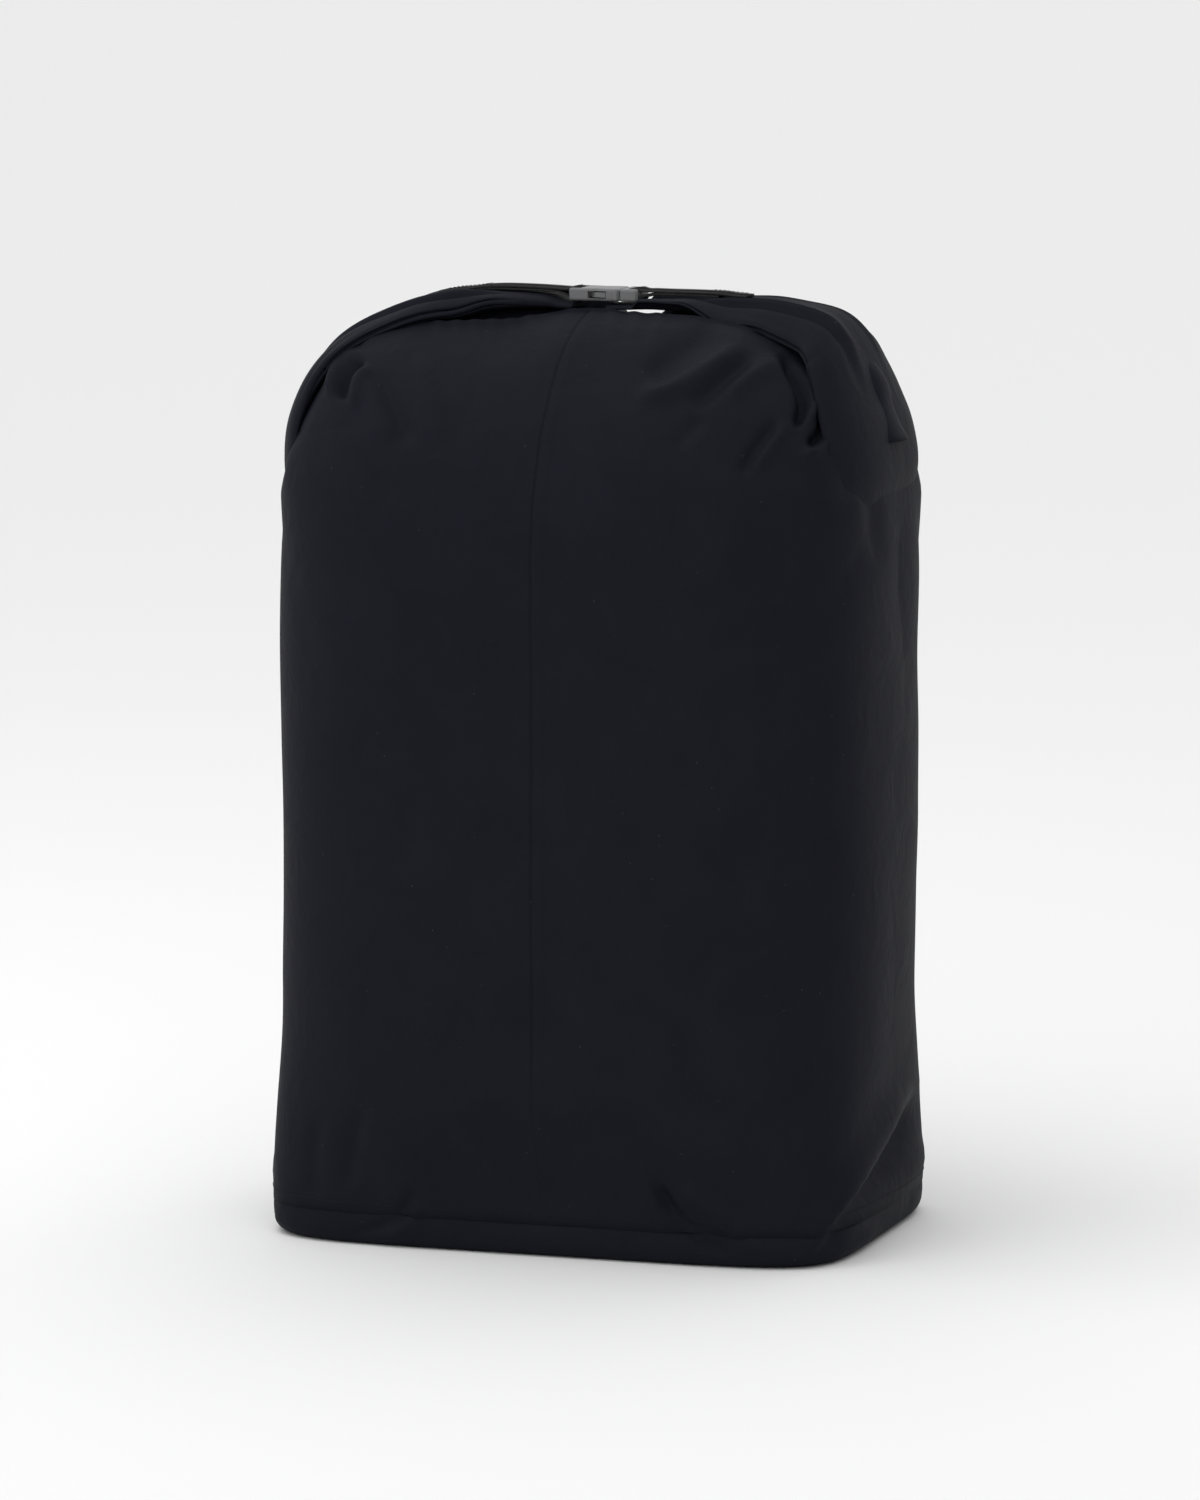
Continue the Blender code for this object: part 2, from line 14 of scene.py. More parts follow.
import bpy
import numpy as np
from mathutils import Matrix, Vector


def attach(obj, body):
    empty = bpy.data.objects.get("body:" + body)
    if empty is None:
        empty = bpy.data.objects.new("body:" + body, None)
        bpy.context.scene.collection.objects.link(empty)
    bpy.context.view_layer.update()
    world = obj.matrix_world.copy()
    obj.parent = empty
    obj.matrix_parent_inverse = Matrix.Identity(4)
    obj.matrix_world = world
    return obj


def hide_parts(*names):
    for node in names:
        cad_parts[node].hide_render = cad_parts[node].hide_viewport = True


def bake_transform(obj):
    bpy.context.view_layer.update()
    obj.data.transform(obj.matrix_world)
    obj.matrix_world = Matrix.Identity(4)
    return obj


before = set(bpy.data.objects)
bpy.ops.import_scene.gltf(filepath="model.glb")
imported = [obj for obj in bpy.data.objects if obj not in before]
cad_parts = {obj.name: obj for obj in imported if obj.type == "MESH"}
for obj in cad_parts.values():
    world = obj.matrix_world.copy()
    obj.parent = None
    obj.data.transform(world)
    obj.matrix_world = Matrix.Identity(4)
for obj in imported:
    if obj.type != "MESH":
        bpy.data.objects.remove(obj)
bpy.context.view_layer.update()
LOG = logging.getLogger("sack")
Number = float | np.ndarray


class Side(Enum):
    """The two ends of the roll."""

    LEFT = -1
    RIGHT = 1

    @property
    def label(self) -> str:
        """The side's name as it stands in the names of pieces."""
        return self.name.lower()


class Fold(Enum):
    """How a fold line shapes the cloth across its width."""

    RIDGE = "ridge"
    VALLEY = "valley"


# Numbers and meshes


def smooth_step(value: np.ndarray) -> np.ndarray:
    """Eases a number from 0 to 1, flat at both ends."""
    eased = np.clip(value, 0.0, 1.0)
    return eased * eased * (3.0 - 2.0 * eased)


def between(start: Number, end: Number, share: Number) -> Number:
    """The number at a share of the way from one number to another."""
    return start + (end - start) * share


def signed_power(value: np.ndarray, power: float) -> np.ndarray:
    """Raises the size of each number to a power and keeps its sign."""
    return np.sign(value) * np.abs(value) ** power


def cloth_noise(points: np.ndarray, scale: float, seed: int) -> np.ndarray:
    """Smooth noise over space.

    Args:
        points: Rows of x, y and z.
        scale: Size of a lump, in metres.
        seed: Number that picks the pattern.

    Returns:
        One number from -1 to 1 for each point.
    """
    cell = points / scale + 0.37 * seed
    base = np.floor(cell).astype(np.int64)
    part = cell - base
    ease = part * part * (3.0 - 2.0 * part)
    total = np.zeros(len(points))
    primes = np.array([374761393, 668265263, 1442695041], dtype=np.int64)
    for corner in range(8):
        step = np.array([corner & 1, (corner >> 1) & 1, (corner >> 2) & 1])
        key = (base + step) @ primes + seed * 974711
        key = (key ^ (key >> 13)) * 1274126177
        value = ((key ^ (key >> 16)) & 0xFFFF) / 32767.5 - 1.0
        total += value * np.prod(np.where(step == 1, ease, 1.0 - ease), axis=1)
    return total


@dataclass(frozen=True)
class Lumps:
    """A layer of soft lumps in cloth: how high and wide they are, and which pattern they follow."""

    height: float
    width: float
    seed: int


BODY_LUMPS = (Lumps(0.0016, 0.105, 3), Lumps(0.0007, 0.043, 5))
BASE_LUMPS = (Lumps(0.0006, 0.024, 21), Lumps(0.0003, 0.010, 22))
ROLL_LUMPS = (Lumps(0.0009, 0.030, 31), Lumps(0.0005, 0.012, 32))
WING_LUMPS = (Lumps(0.0014, 0.050, 41), Lumps(0.0009, 0.020, 42))
GATHER_WOBBLE = Lumps(0.8, 0.06, 11)


def lumpy(points: np.ndarray, *layers: Lumps) -> np.ndarray:
    """Adds up layers of lumps.

    Args:
        points: Rows of x, y and z.
        layers: The layers of lumps.

    Returns:
        One height for each point.
    """
    return sum(layer.height * cloth_noise(points, layer.width, layer.seed) for layer in layers)


def smooth_path(stations: np.ndarray, count: int) -> np.ndarray:
    """Catmull-Rom curve through rows of numbers.

    Args:
        stations: One row for each given station.
        count: How many rows to return.

    Returns:
        Rows at even steps along the given stations.
    """
    padded = np.vstack([2 * stations[0] - stations[1], stations, 2 * stations[-1] - stations[-2]])
    place = np.linspace(0.0, len(stations) - 1.000001, count)
    index = place.astype(int)
    t = (place - index)[:, None]
    a, b, c, d = (padded[index + k] for k in range(4))
    return 0.5 * (2 * b + (c - a) * t + (2 * a - 5 * b + 4 * c - d) * t**2 + (3 * b - a - 3 * c + d) * t**3)


def grid_normals(grid: np.ndarray) -> np.ndarray:
    """Unit normals of a grid of points whose columns run round a piece.

    Args:
        grid: Rings by points by 3; each ring is closed.

    Returns:
        Normals in the same layout.
    """
    across = np.roll(grid, -1, axis=1) - np.roll(grid, 1, axis=1)
    along = np.gradient(grid, axis=0)
    normal = np.cross(across, along)
    return normal / np.maximum(np.linalg.norm(normal, axis=2, keepdims=True), 1e-12)


def faces_inwards(grid: np.ndarray) -> bool:
    """Whether the normals of a grid of rings point to its own middle line."""
    away = grid - grid.mean(axis=1, keepdims=True)
    return bool(np.mean(np.sum(grid_normals(grid) * away, axis=2)) < 0)


def link_object(name: str, data: bpy.types.ID) -> bpy.types.Object:
    """Links a new object at the origin.

    Args:
        name: Name of the object.
        data: Mesh, lamp or camera that it carries.

    Returns:
        The new object.
    """
    obj = bpy.data.objects.new(name, data)
    bpy.context.scene.collection.objects.link(obj)
    return obj


def grid_object(
    name: str, grid: np.ndarray, uv: np.ndarray | None = None, loop: bool = False
) -> bpy.types.Object:
    """Links a smooth closed object made of rings of points.

    Args:
        name: Name of the piece.
        grid: Rings by points by 3; each ring is closed.
        uv: Rings by points plus one by 2, in metres, for a pattern that follows the cloth.
        loop: Whether the last ring joins the first; otherwise both ends are closed with a face.

    Returns:
        The new object.
    """
    rings, count, _ = grid.shape
    bands = np.arange(rings if loop else rings - 1)[:, None]
    column = np.arange(count)
    here, after = bands * count, (bands + 1) % rings * count
    beside = (column + 1) % count
    corners = [here + column, here + beside, after + beside, after + column]
    faces = np.stack(corners, axis=2).reshape(-1, 4).tolist()
    if not loop:
        faces.append(list(range(count))[::-1])
        faces.append(list(range((rings - 1) * count, rings * count)))
    mesh = bpy.data.meshes.new(name)
    mesh.from_pydata(grid.reshape(-1, 3).tolist(), [], faces)
    layer = mesh.uv_layers.new(name="cloth")
    if uv is None:
        uv = np.stack(np.meshgrid(np.arange(count + 1) * 0.001, np.arange(len(bands) + 1) * 0.001), axis=2)
    corner = np.zeros((len(mesh.loops), 2))
    wide = (bands * (count + 1) + column).ravel()
    flat = uv.reshape(-1, 2)
    quads = np.stack([flat[wide], flat[wide + 1], flat[wide + count + 2], flat[wide + count + 1]], axis=1)
    corner[: quads.size // 2] = quads.reshape(-1, 2)
    layer.data.foreach_set("uv", corner.ravel())
    mesh.validate()
    mesh.shade_smooth()
    return link_object(name, mesh)


def dress(obj: bpy.types.Object, material: bpy.types.Material) -> None:
    """Puts one material on every face of an object."""
    obj.data.materials.clear()
    obj.data.materials.append(material)


# Camera


@dataclass(frozen=True)
class StudioCamera:
    """Camera at the photograph's angle, with the arithmetic of its picture plane."""

    azimuth: float = 18.0
    elevation: float = 8.0
    distance: float = 4.41
    lens: float = 200.0
    sensor: float = 36.0
    aim_height: float = 0.2525
    picture: tuple[int, int] = (1200, 1500)

    def axes(self) -> tuple[np.ndarray, np.ndarray, np.ndarray]:
        """Unit vectors to the right, up and back towards the camera.

        Returns:
            The three vectors, in the sack's frame.
        """
        turn, lift = math.radians(self.azimuth), math.radians(self.elevation)
        back = np.array([math.sin(turn) * math.cos(lift), -math.cos(turn) * math.cos(lift), math.sin(lift)])
        right = np.array([math.cos(turn), math.sin(turn), 0.0])
        return right, np.cross(back, right), back

    def place(self) -> np.ndarray:
        """Where the camera stands."""
        return np.array([0.0, 0.0, self.aim_height]) + self.axes()[2] * self.distance

    def project(self, points: np.ndarray) -> np.ndarray:
        """Picture coordinates, in pixels from the top left, of rows of points.

        Args:
            points: Rows of x, y and z.

        Returns:
            Rows of pixels across and down.
        """
        right, up, back = self.axes()
        seen = points - self.place()
        depth = -(seen @ back)
        size = self.picture[1] * self.lens / self.sensor
        across = self.picture[0] / 2 + size * (seen @ right) / depth
        down = self.picture[1] / 2 - size * (seen @ up) / depth
        return np.stack([across, down], axis=1)

    def build(self) -> None:
        """Adds the camera and makes it the scene's own."""
        data = bpy.data.cameras.new("studio_camera")
        data.lens = self.lens
        camera = link_object("studio_camera", data)
        camera.location = Vector(self.place())
        camera.rotation_euler = Vector(self.axes()[2]).to_track_quat("Z", "Y").to_euler()
        bpy.context.scene.camera = camera


CAMERA = StudioCamera()


# Shader groups and finishes


class ShaderGroups:
    """Effects that several materials share, each built once as a node group."""

    def __init__(self) -> None:
        """Builds the groups."""
        self.weave = self._weave()
        self.crinkle = self._crinkle()
        self.dust = self._dust()

    @staticmethod
    def _start(name: str, inputs: dict[str, tuple[str, float | None]], outputs: dict[str, str]) -> tuple:
        """A new group with its sockets.

        Args:
            name: Name of the group.
            inputs: Socket name to type and default.
            outputs: Socket name to type.

        Returns:
            The tree, its input node and its output node.
        """
        tree = bpy.data.node_groups.new(name, "ShaderNodeTree")
        for label, (kind, default) in inputs.items():
            socket = tree.interface.new_socket(label, in_out="INPUT", socket_type=kind)
            if default is not None:
                socket.default_value = default
        for label, kind in outputs.items():
            tree.interface.new_socket(label, in_out="OUTPUT", socket_type=kind)
        return tree, tree.nodes.new("NodeGroupInput"), tree.nodes.new("NodeGroupOutput")

    @staticmethod
    def _math(tree: bpy.types.NodeTree, operation: str, first: object, second: object = None) -> object:
        """A Math node on sockets or numbers, as its output socket.

        Args:
            tree: Tree that gets the node.
            operation: Name of the operation.
            first: Socket or number.
            second: Socket, number or nothing.

        Returns:
            The socket that gives the result.
        """
        node = tree.nodes.new("ShaderNodeMath")
        node.operation = operation
        for place, value in enumerate((first, second)):
            if value is None:
                continue
            if isinstance(value, (int, float)):
                node.inputs[place].default_value = value
            else:
                tree.links.new(value, node.inputs[place])
        return node.outputs[0]

    def _weave(self) -> bpy.types.NodeTree:
        """Plain weave: over-and-under threads from coordinates in metres.

        Returns:
            The group.
        """
        tree, source, sink = self._start(
            "plain_weave",
            {"Vector": ("NodeSocketVector", None), "Thread Pitch": ("NodeSocketFloat", 0.0006)},
            {"Height": "NodeSocketFloat"},
        )
        split = tree.nodes.new("ShaderNodeSeparateXYZ")
        tree.links.new(source.outputs["Vector"], split.inputs[0])
        rate = self._math(tree, "DIVIDE", math.pi, source.outputs["Thread Pitch"])
        waves = []
        for axis in ("X", "Y"):
            waves.append(self._math(tree, "SINE", self._math(tree, "MULTIPLY", split.outputs[axis], rate)))
        crossing = self._math(tree, "MULTIPLY", waves[0], waves[1])
        height = self._math(tree, "ADD", self._math(tree, "MULTIPLY", crossing, 0.5), 0.5)
        tree.links.new(height, sink.inputs["Height"])
        return tree

    def _crinkle(self) -> bpy.types.NodeTree:
        """Fine creases of coated cloth, sharp on one side and soft on the other.

        Returns:
            The group.
        """
        tree, source, sink = self._start(
            "coated_crinkle",
            {"Vector": ("NodeSocketVector", None), "Scale": ("NodeSocketFloat", 60.0)},
            {"Height": "NodeSocketFloat", "Tone": "NodeSocketFloat"},
        )
        broad = tree.nodes.new("ShaderNodeTexNoise")
        broad.inputs["Detail"].default_value = 4.0
        broad.inputs["Distortion"].default_value = 0.6
        tree.links.new(source.outputs["Vector"], broad.inputs["Vector"])
        tree.links.new(source.outputs["Scale"], broad.inputs["Scale"])
        fine = tree.nodes.new("ShaderNodeTexNoise")
        fine.inputs["Detail"].default_value = 3.0
        tree.links.new(source.outputs["Vector"], fine.inputs["Vector"])
        tree.links.new(self._math(tree, "MULTIPLY", source.outputs["Scale"], 4.2), fine.inputs["Scale"])
        ridge = self._math(tree, "ABSOLUTE", self._math(tree, "SUBTRACT", broad.outputs["Fac"], 0.5))
        crease = self._math(tree, "SUBTRACT", 1.0, self._math(tree, "MULTIPLY", ridge, 3.0))
        height = self._math(tree, "ADD", crease, self._math(tree, "MULTIPLY", fine.outputs["Fac"], 0.35))
        tree.links.new(height, sink.inputs["Height"])
        tree.links.new(broad.outputs["Fac"], sink.inputs["Tone"])
        return tree

    def _dust(self) -> bpy.types.NodeTree:
        """Sparse pale specks of lint, as a mask.

        Returns:
            The group.
        """
        tree, source, sink = self._start(
            "lint_specks",
            {"Vector": ("NodeSocketVector", None), "Density": ("NodeSocketFloat", 260.0)},
            {"Mask": "NodeSocketFloat"},
        )
        cells = tree.nodes.new("ShaderNodeTexVoronoi")
        cells.inputs["Randomness"].default_value = 1.0
        tree.links.new(source.outputs["Vector"], cells.inputs["Vector"])
        tree.links.new(source.outputs["Density"], cells.inputs["Scale"])
        near = self._math(tree, "LESS_THAN", cells.outputs["Distance"], 0.07)
        split = tree.nodes.new("ShaderNodeSeparateColor")
        tree.links.new(cells.outputs["Color"], split.inputs[0])
        rare = self._math(tree, "GREATER_THAN", split.outputs[0], 0.93)
        tree.links.new(self._math(tree, "MULTIPLY", near, rare), sink.inputs["Mask"])
        return tree


GROUPS = ShaderGroups()


@dataclass(frozen=True)
class Finish:
    """A surface made of a dark and a light tone, a woven or moulded relief and some lint."""

    name: str
    dark: tuple[float, float, float]
    light: tuple[float, float, float]
    roughness: tuple[float, float]
    specular: float = 0.4
    thread_pitch: float = 0.0
    weave_depth: float = 0.0
    crinkle_scale: float = 60.0
    crinkle_depth: float = 0.0
    lint: float = 0.0
    lint_tone: tuple[float, float, float] = (0.16, 0.16, 0.17)
    on_cloth: bool = False

    def make(self) -> bpy.types.Material:
        """Builds the material.

        Returns:
            A node material with tone, roughness and relief that change over the surface.
        """
        material = bpy.data.materials.new(self.name)
        material.use_nodes = True
        tree = material.node_tree
        shader = tree.nodes["Principled BSDF"]
        shader.inputs["Specular IOR Level"].default_value = self.specular
        place = tree.nodes.new("ShaderNodeTexCoord")
        crinkle = self._group(tree, GROUPS.crinkle, place.outputs["Object"])
        crinkle.inputs["Scale"].default_value = self.crinkle_scale
        tones = tree.nodes.new("ShaderNodeMix")
        tones.data_type = "RGBA"
        tones.inputs["A"].default_value = (*self.dark, 1.0)
        tones.inputs["B"].default_value = (*self.light, 1.0)
        tree.links.new(crinkle.outputs["Tone"], tones.inputs["Factor"])
        colour = tones.outputs["Result"]
        if self.lint > 0.0:
            colour = self._with_lint(tree, place.outputs["Object"], colour)
        tree.links.new(colour, shader.inputs["Base Color"])
        spread = tree.nodes.new("ShaderNodeMapRange")
        spread.inputs["To Min"].default_value = self.roughness[0]
        spread.inputs["To Max"].default_value = self.roughness[1]
        tree.links.new(crinkle.outputs["Tone"], spread.inputs["Value"])
        tree.links.new(spread.outputs["Result"], shader.inputs["Roughness"])
        normal = self._bump(tree, crinkle.outputs["Height"], self.crinkle_depth, None)
        if self.thread_pitch > 0.0:
            coordinates = place.outputs["UV" if self.on_cloth else "Object"]
            weave = self._group(tree, GROUPS.weave, coordinates)
            weave.inputs["Thread Pitch"].default_value = self.thread_pitch
            normal = self._bump(tree, weave.outputs["Height"], self.weave_depth, normal)
        tree.links.new(normal, shader.inputs["Normal"])
        return material

    @staticmethod
    def _group(tree: bpy.types.NodeTree, group: bpy.types.NodeTree, vector: object) -> bpy.types.Node:
        """Places a shared group and feeds its coordinates.

        Args:
            tree: Tree that gets the node.
            group: The shared group.
            vector: Socket of the coordinates.

        Returns:
            The group's node.
        """
        node = tree.nodes.new("ShaderNodeGroup")
        node.node_tree = group
        tree.links.new(vector, node.inputs["Vector"])
        return node

    @staticmethod
    def _bump(tree: bpy.types.NodeTree, height: object, depth: float, under: object) -> object:
        """A Bump node of a depth in metres, on top of another normal if there is one.

        Args:
            tree: Tree that gets the node.
            height: Socket of the relief.
            depth: Depth of the relief.
            under: Socket of a normal, or nothing.

        Returns:
            The socket of the normal.
        """
        bump = tree.nodes.new("ShaderNodeBump")
        bump.inputs["Strength"].default_value = 1.0
        bump.inputs["Distance"].default_value = depth
        tree.links.new(height, bump.inputs["Height"])
        if under is not None:
            tree.links.new(under, bump.inputs["Normal"])
        return bump.outputs["Normal"]

    def _with_lint(self, tree: bpy.types.NodeTree, vector: object, colour: object) -> object:
        """Mixes pale specks into a colour.

        Args:
            tree: Tree that gets the node.
            vector: Socket of the coordinates.
            colour: Socket of the plain colour.

        Returns:
            The socket of the mixed colour.
        """
        specks = self._group(tree, GROUPS.dust, vector)
        weight = tree.nodes.new("ShaderNodeMath")
        weight.operation = "MULTIPLY"
        weight.inputs[1].default_value = self.lint
        tree.links.new(specks.outputs["Mask"], weight.inputs[0])
        mixed = tree.nodes.new("ShaderNodeMix")
        mixed.data_type = "RGBA"
        mixed.inputs["B"].default_value = (*self.lint_tone, 1.0)
        tree.links.new(weight.outputs[0], mixed.inputs["Factor"])
        tree.links.new(colour, mixed.inputs["A"])
        return mixed.outputs["Result"]


NYLON = Finish(
    "sack_nylon", (0.0080, 0.0084, 0.0128), (0.0118, 0.0123, 0.0180), (0.50, 0.64), specular=0.03,
    thread_pitch=0.00055, weave_depth=0.00003, crinkle_scale=34.0, crinkle_depth=0.00045, lint=0.35,
    on_cloth=True,
)
WEBBING = Finish(
    "webbing", (0.005, 0.005, 0.006), (0.010, 0.010, 0.011), (0.62, 0.75), specular=0.05,
    thread_pitch=0.0005, weave_depth=0.00006, crinkle_scale=120.0, crinkle_depth=0.00008, lint=0.3,
)
# Same webbing in lighter tones: painted highlight of the strip's lit near edge, where its edge beads catch
# the light.
SELVEDGE_PAINTED_HIGHLIGHT = Finish(
    "webbing_selvedge", (0.024, 0.024, 0.026), (0.050, 0.050, 0.052), (0.62, 0.75), specular=0.15,
    thread_pitch=0.0004, weave_depth=0.00004, crinkle_scale=300.0, crinkle_depth=0.00004,
)
THREAD = Finish(
    "sewing_thread", (0.003, 0.003, 0.004), (0.007, 0.007, 0.009), (0.55, 0.7), specular=0.2,
    thread_pitch=0.0002, weave_depth=0.00003, crinkle_scale=400.0, crinkle_depth=0.00003,
)
ACETAL = Finish(
    "buckle_plastic", (0.115, 0.116, 0.120), (0.165, 0.166, 0.170), (0.36, 0.48), specular=0.45,
    crinkle_scale=900.0, crinkle_depth=0.00006,
)
TAPE = Finish(
    "binding_tape", (0.008, 0.008, 0.009), (0.013, 0.013, 0.014), (0.7, 0.85), specular=0.25,
    thread_pitch=0.0007, weave_depth=0.00008, crinkle_scale=90.0, crinkle_depth=0.00005,
)
STRIP = Finish(
    "stiffener_plastic", (0.55, 0.55, 0.53), (0.62, 0.62, 0.60), (0.42, 0.55), crinkle_scale=200.0,
    crinkle_depth=0.00005,
)


# The roll's arch


@dataclass(frozen=True)
class RollArch:
    """The line that the roll lies along, and the sizes of the roll on it."""

    span: float = 0.152
    spring: float = 0.420
    rise: float = 0.053
    squareness: float = 2.3
    thickness: float = 0.018
    end_thickness: float = 0.011
    width: float = 0.034
    end_width: float = 0.040

    def point(self, turn: np.ndarray) -> np.ndarray:
        """Points of the centre line, for turns from -1 at the left end to 1 at the right.

        Args:
            turn: Places along the line.

        Returns:
            Rows of x, y and z.
        """
        angle = math.pi / 2 * (1.0 - np.asarray(turn, dtype=float))
        x = self.span * signed_power(np.cos(angle), 2 / self.squareness)
        z = self.spring + self.rise * np.abs(np.sin(angle)) ** (2 / self.squareness)
        return np.stack([x, np.zeros_like(x), z], axis=-1)

    def normal(self, turn: np.ndarray) -> np.ndarray:
        """Unit normals of that line, pointing up and out.

        Args:
            turn: Places along the line, from -1 to 1.

        Returns:
            Rows of x, y and z.
        """
        turn = np.asarray(turn, dtype=float)
        along = self.point(np.minimum(turn + 1e-3, 1.0)) - self.point(np.maximum(turn - 1e-3, -1.0))
        normal = np.stack([-along[..., 2], np.zeros_like(along[..., 0]), along[..., 0]], axis=-1)
        return normal / np.linalg.norm(normal, axis=-1, keepdims=True)

    def half_thickness(self, turn: np.ndarray) -> np.ndarray:
        """Half the roll's thickness."""
        return between(self.thickness, self.end_thickness, np.asarray(turn) ** 2) / 2

    def half_width(self, turn: np.ndarray) -> np.ndarray:
        """Half the roll's width, front to back."""
        return between(self.width, self.end_width, np.asarray(turn) ** 2) / 2


ARCH = RollArch()


# The cloth body


@dataclass(frozen=True)
class FoldLine:
    """A fold, drawn on the studio camera's picture plane in pixels of the photograph's frame."""

    kind: Fold
    height_mm: float
    width: float
    points: tuple[tuple[float, float], ...]
    end_fade: float = 0.25

    def relief(self, pixels: np.ndarray) -> np.ndarray:
        """How far the cloth stands out, in metres, at picture coordinates.

        Args:
            pixels: Rows of picture coordinates.

        Returns:
            One offset for each row, fading out at both ends of the line.
        """
        line = smooth_path(np.array(self.points, dtype=float), 10 * len(self.points))
        best = np.full(len(pixels), 1e9)
        share = np.zeros(len(pixels))
        for k in range(len(line) - 1):
            start, step = line[k], line[k + 1] - line[k]
            t = np.clip(((pixels - start) @ step) / (step @ step), 0.0, 1.0)
            gap = np.linalg.norm(pixels - (start + t[:, None] * step), axis=1)
            nearer = gap < best
            best = np.where(nearer, gap, best)
            share = np.where(nearer, (k + t) / (len(line) - 1), share)
        fade = smooth_step(share / self.end_fade) * smooth_step((1.0 - share) / self.end_fade)
        sign = 1.0 if self.kind is Fold.RIDGE else -1.0
        return sign * self.height_mm * 0.001 * fade * np.exp(-((best / self.width) ** 2))


def ridge(height: float, width: float, *points: tuple[float, float]) -> FoldLine:
    """A fold that stands out."""
    return FoldLine(Fold.RIDGE, height, width, points)


def valley(height: float, width: float, *points: tuple[float, float]) -> FoldLine:
    """A fold that is drawn in."""
    return FoldLine(Fold.VALLEY, height, width, points)


FRONT_FOLDS: tuple[FoldLine, ...] = (
    # The hook under the left wing and the soft lines that run down from it
    valley(9.0, 5.5, (366, 358), (350, 366), (341, 380), (338, 402)),
    ridge(3.4, 5.0, (328, 402), (331, 378), (342, 358), (362, 346)),
    ridge(3.0, 6.0, (374, 368), (362, 374), (355, 390), (352, 412)),
    valley(2.6, 8.0, (375, 364), (394, 407), (411, 449)),
    ridge(1.6, 11.0, (360, 366), (376, 410), (388, 446)),
    ridge(1.4, 14.0, (415, 350), (430, 400), (440, 450)),
    # Slanting folds to the right of the front seam
    valley(4.4, 13.0, (722, 326), (680, 351), (640, 382)),
    ridge(4.2, 10.0, (750, 341), (706, 373), (667, 393), (630, 398)),
    valley(3.6, 9.0, (758, 350), (723, 381), (686, 409)),
    ridge(3.0, 11.0, (788, 362), (753, 377), (722, 402)),
    # Deep pleats under the right wing and the lines below them
    valley(9.0, 6.5, (780, 350), (804, 394), (797, 434)),
    ridge(4.0, 5.0, (811, 370), (816, 402), (796, 434)),
    valley(8.5, 6.0, (816, 374), (828, 420), (806, 452)),
    ridge(4.0, 7.0, (834, 404), (824, 440), (800, 462)),
    valley(3.4, 7.0, (782, 416), (757, 449), (738, 480)),
    ridge(2.4, 7.0, (792, 416), (766, 452), (752, 476)),
    valley(1.8, 9.0, (704, 416), (690, 432), (672, 450)),
    ridge(2.2, 9.0, (842, 400), (845, 436), (852, 478)),
    valley(2.0, 9.0, (866, 470), (874, 520), (878, 570)),
    # A broad line below the left shoulder
    valley(1.4, 12.0, (300, 425), (350, 466), (400, 508)),
    # The low right corner
    ridge(5.6, 12.0, (790, 1276), (856, 1178), (920, 1060)),
    valley(8.5, 9.0, (806, 1276), (872, 1182), (926, 1080)),
    ridge(3.0, 10.0, (846, 1270), (896, 1196), (930, 1130)),
    # The low edge of the front
    valley(7.0, 7.0, (652, 1180), (680, 1222), (752, 1270)),
    ridge(4.6, 8.0, (676, 1180), (716, 1216), (776, 1268)),
    valley(5.0, 6.5, (410, 1190), (398, 1216), (330, 1244)),
    ridge(3.4, 8.0, (420, 1204), (408, 1228), (350, 1256)),
    valley(2.0, 8.0, (362, 1096), (352, 1150), (344, 1200)),
    valley(1.8, 8.0, (320, 1110), (312, 1160), (316, 1206)),
    valley(1.6, 7.0, (540, 1180), (560, 1216), (600, 1240)),
)
# Small pleats along the top of the front
SCALLOPS: tuple[FoldLine, ...] = tuple(
    ridge(1.0, 6.5, (place, 290), (place + 1, 314), (place + 4, 342))
    for place in (436, 455, 473, 491, 509, 527, 612, 634, 657)
)


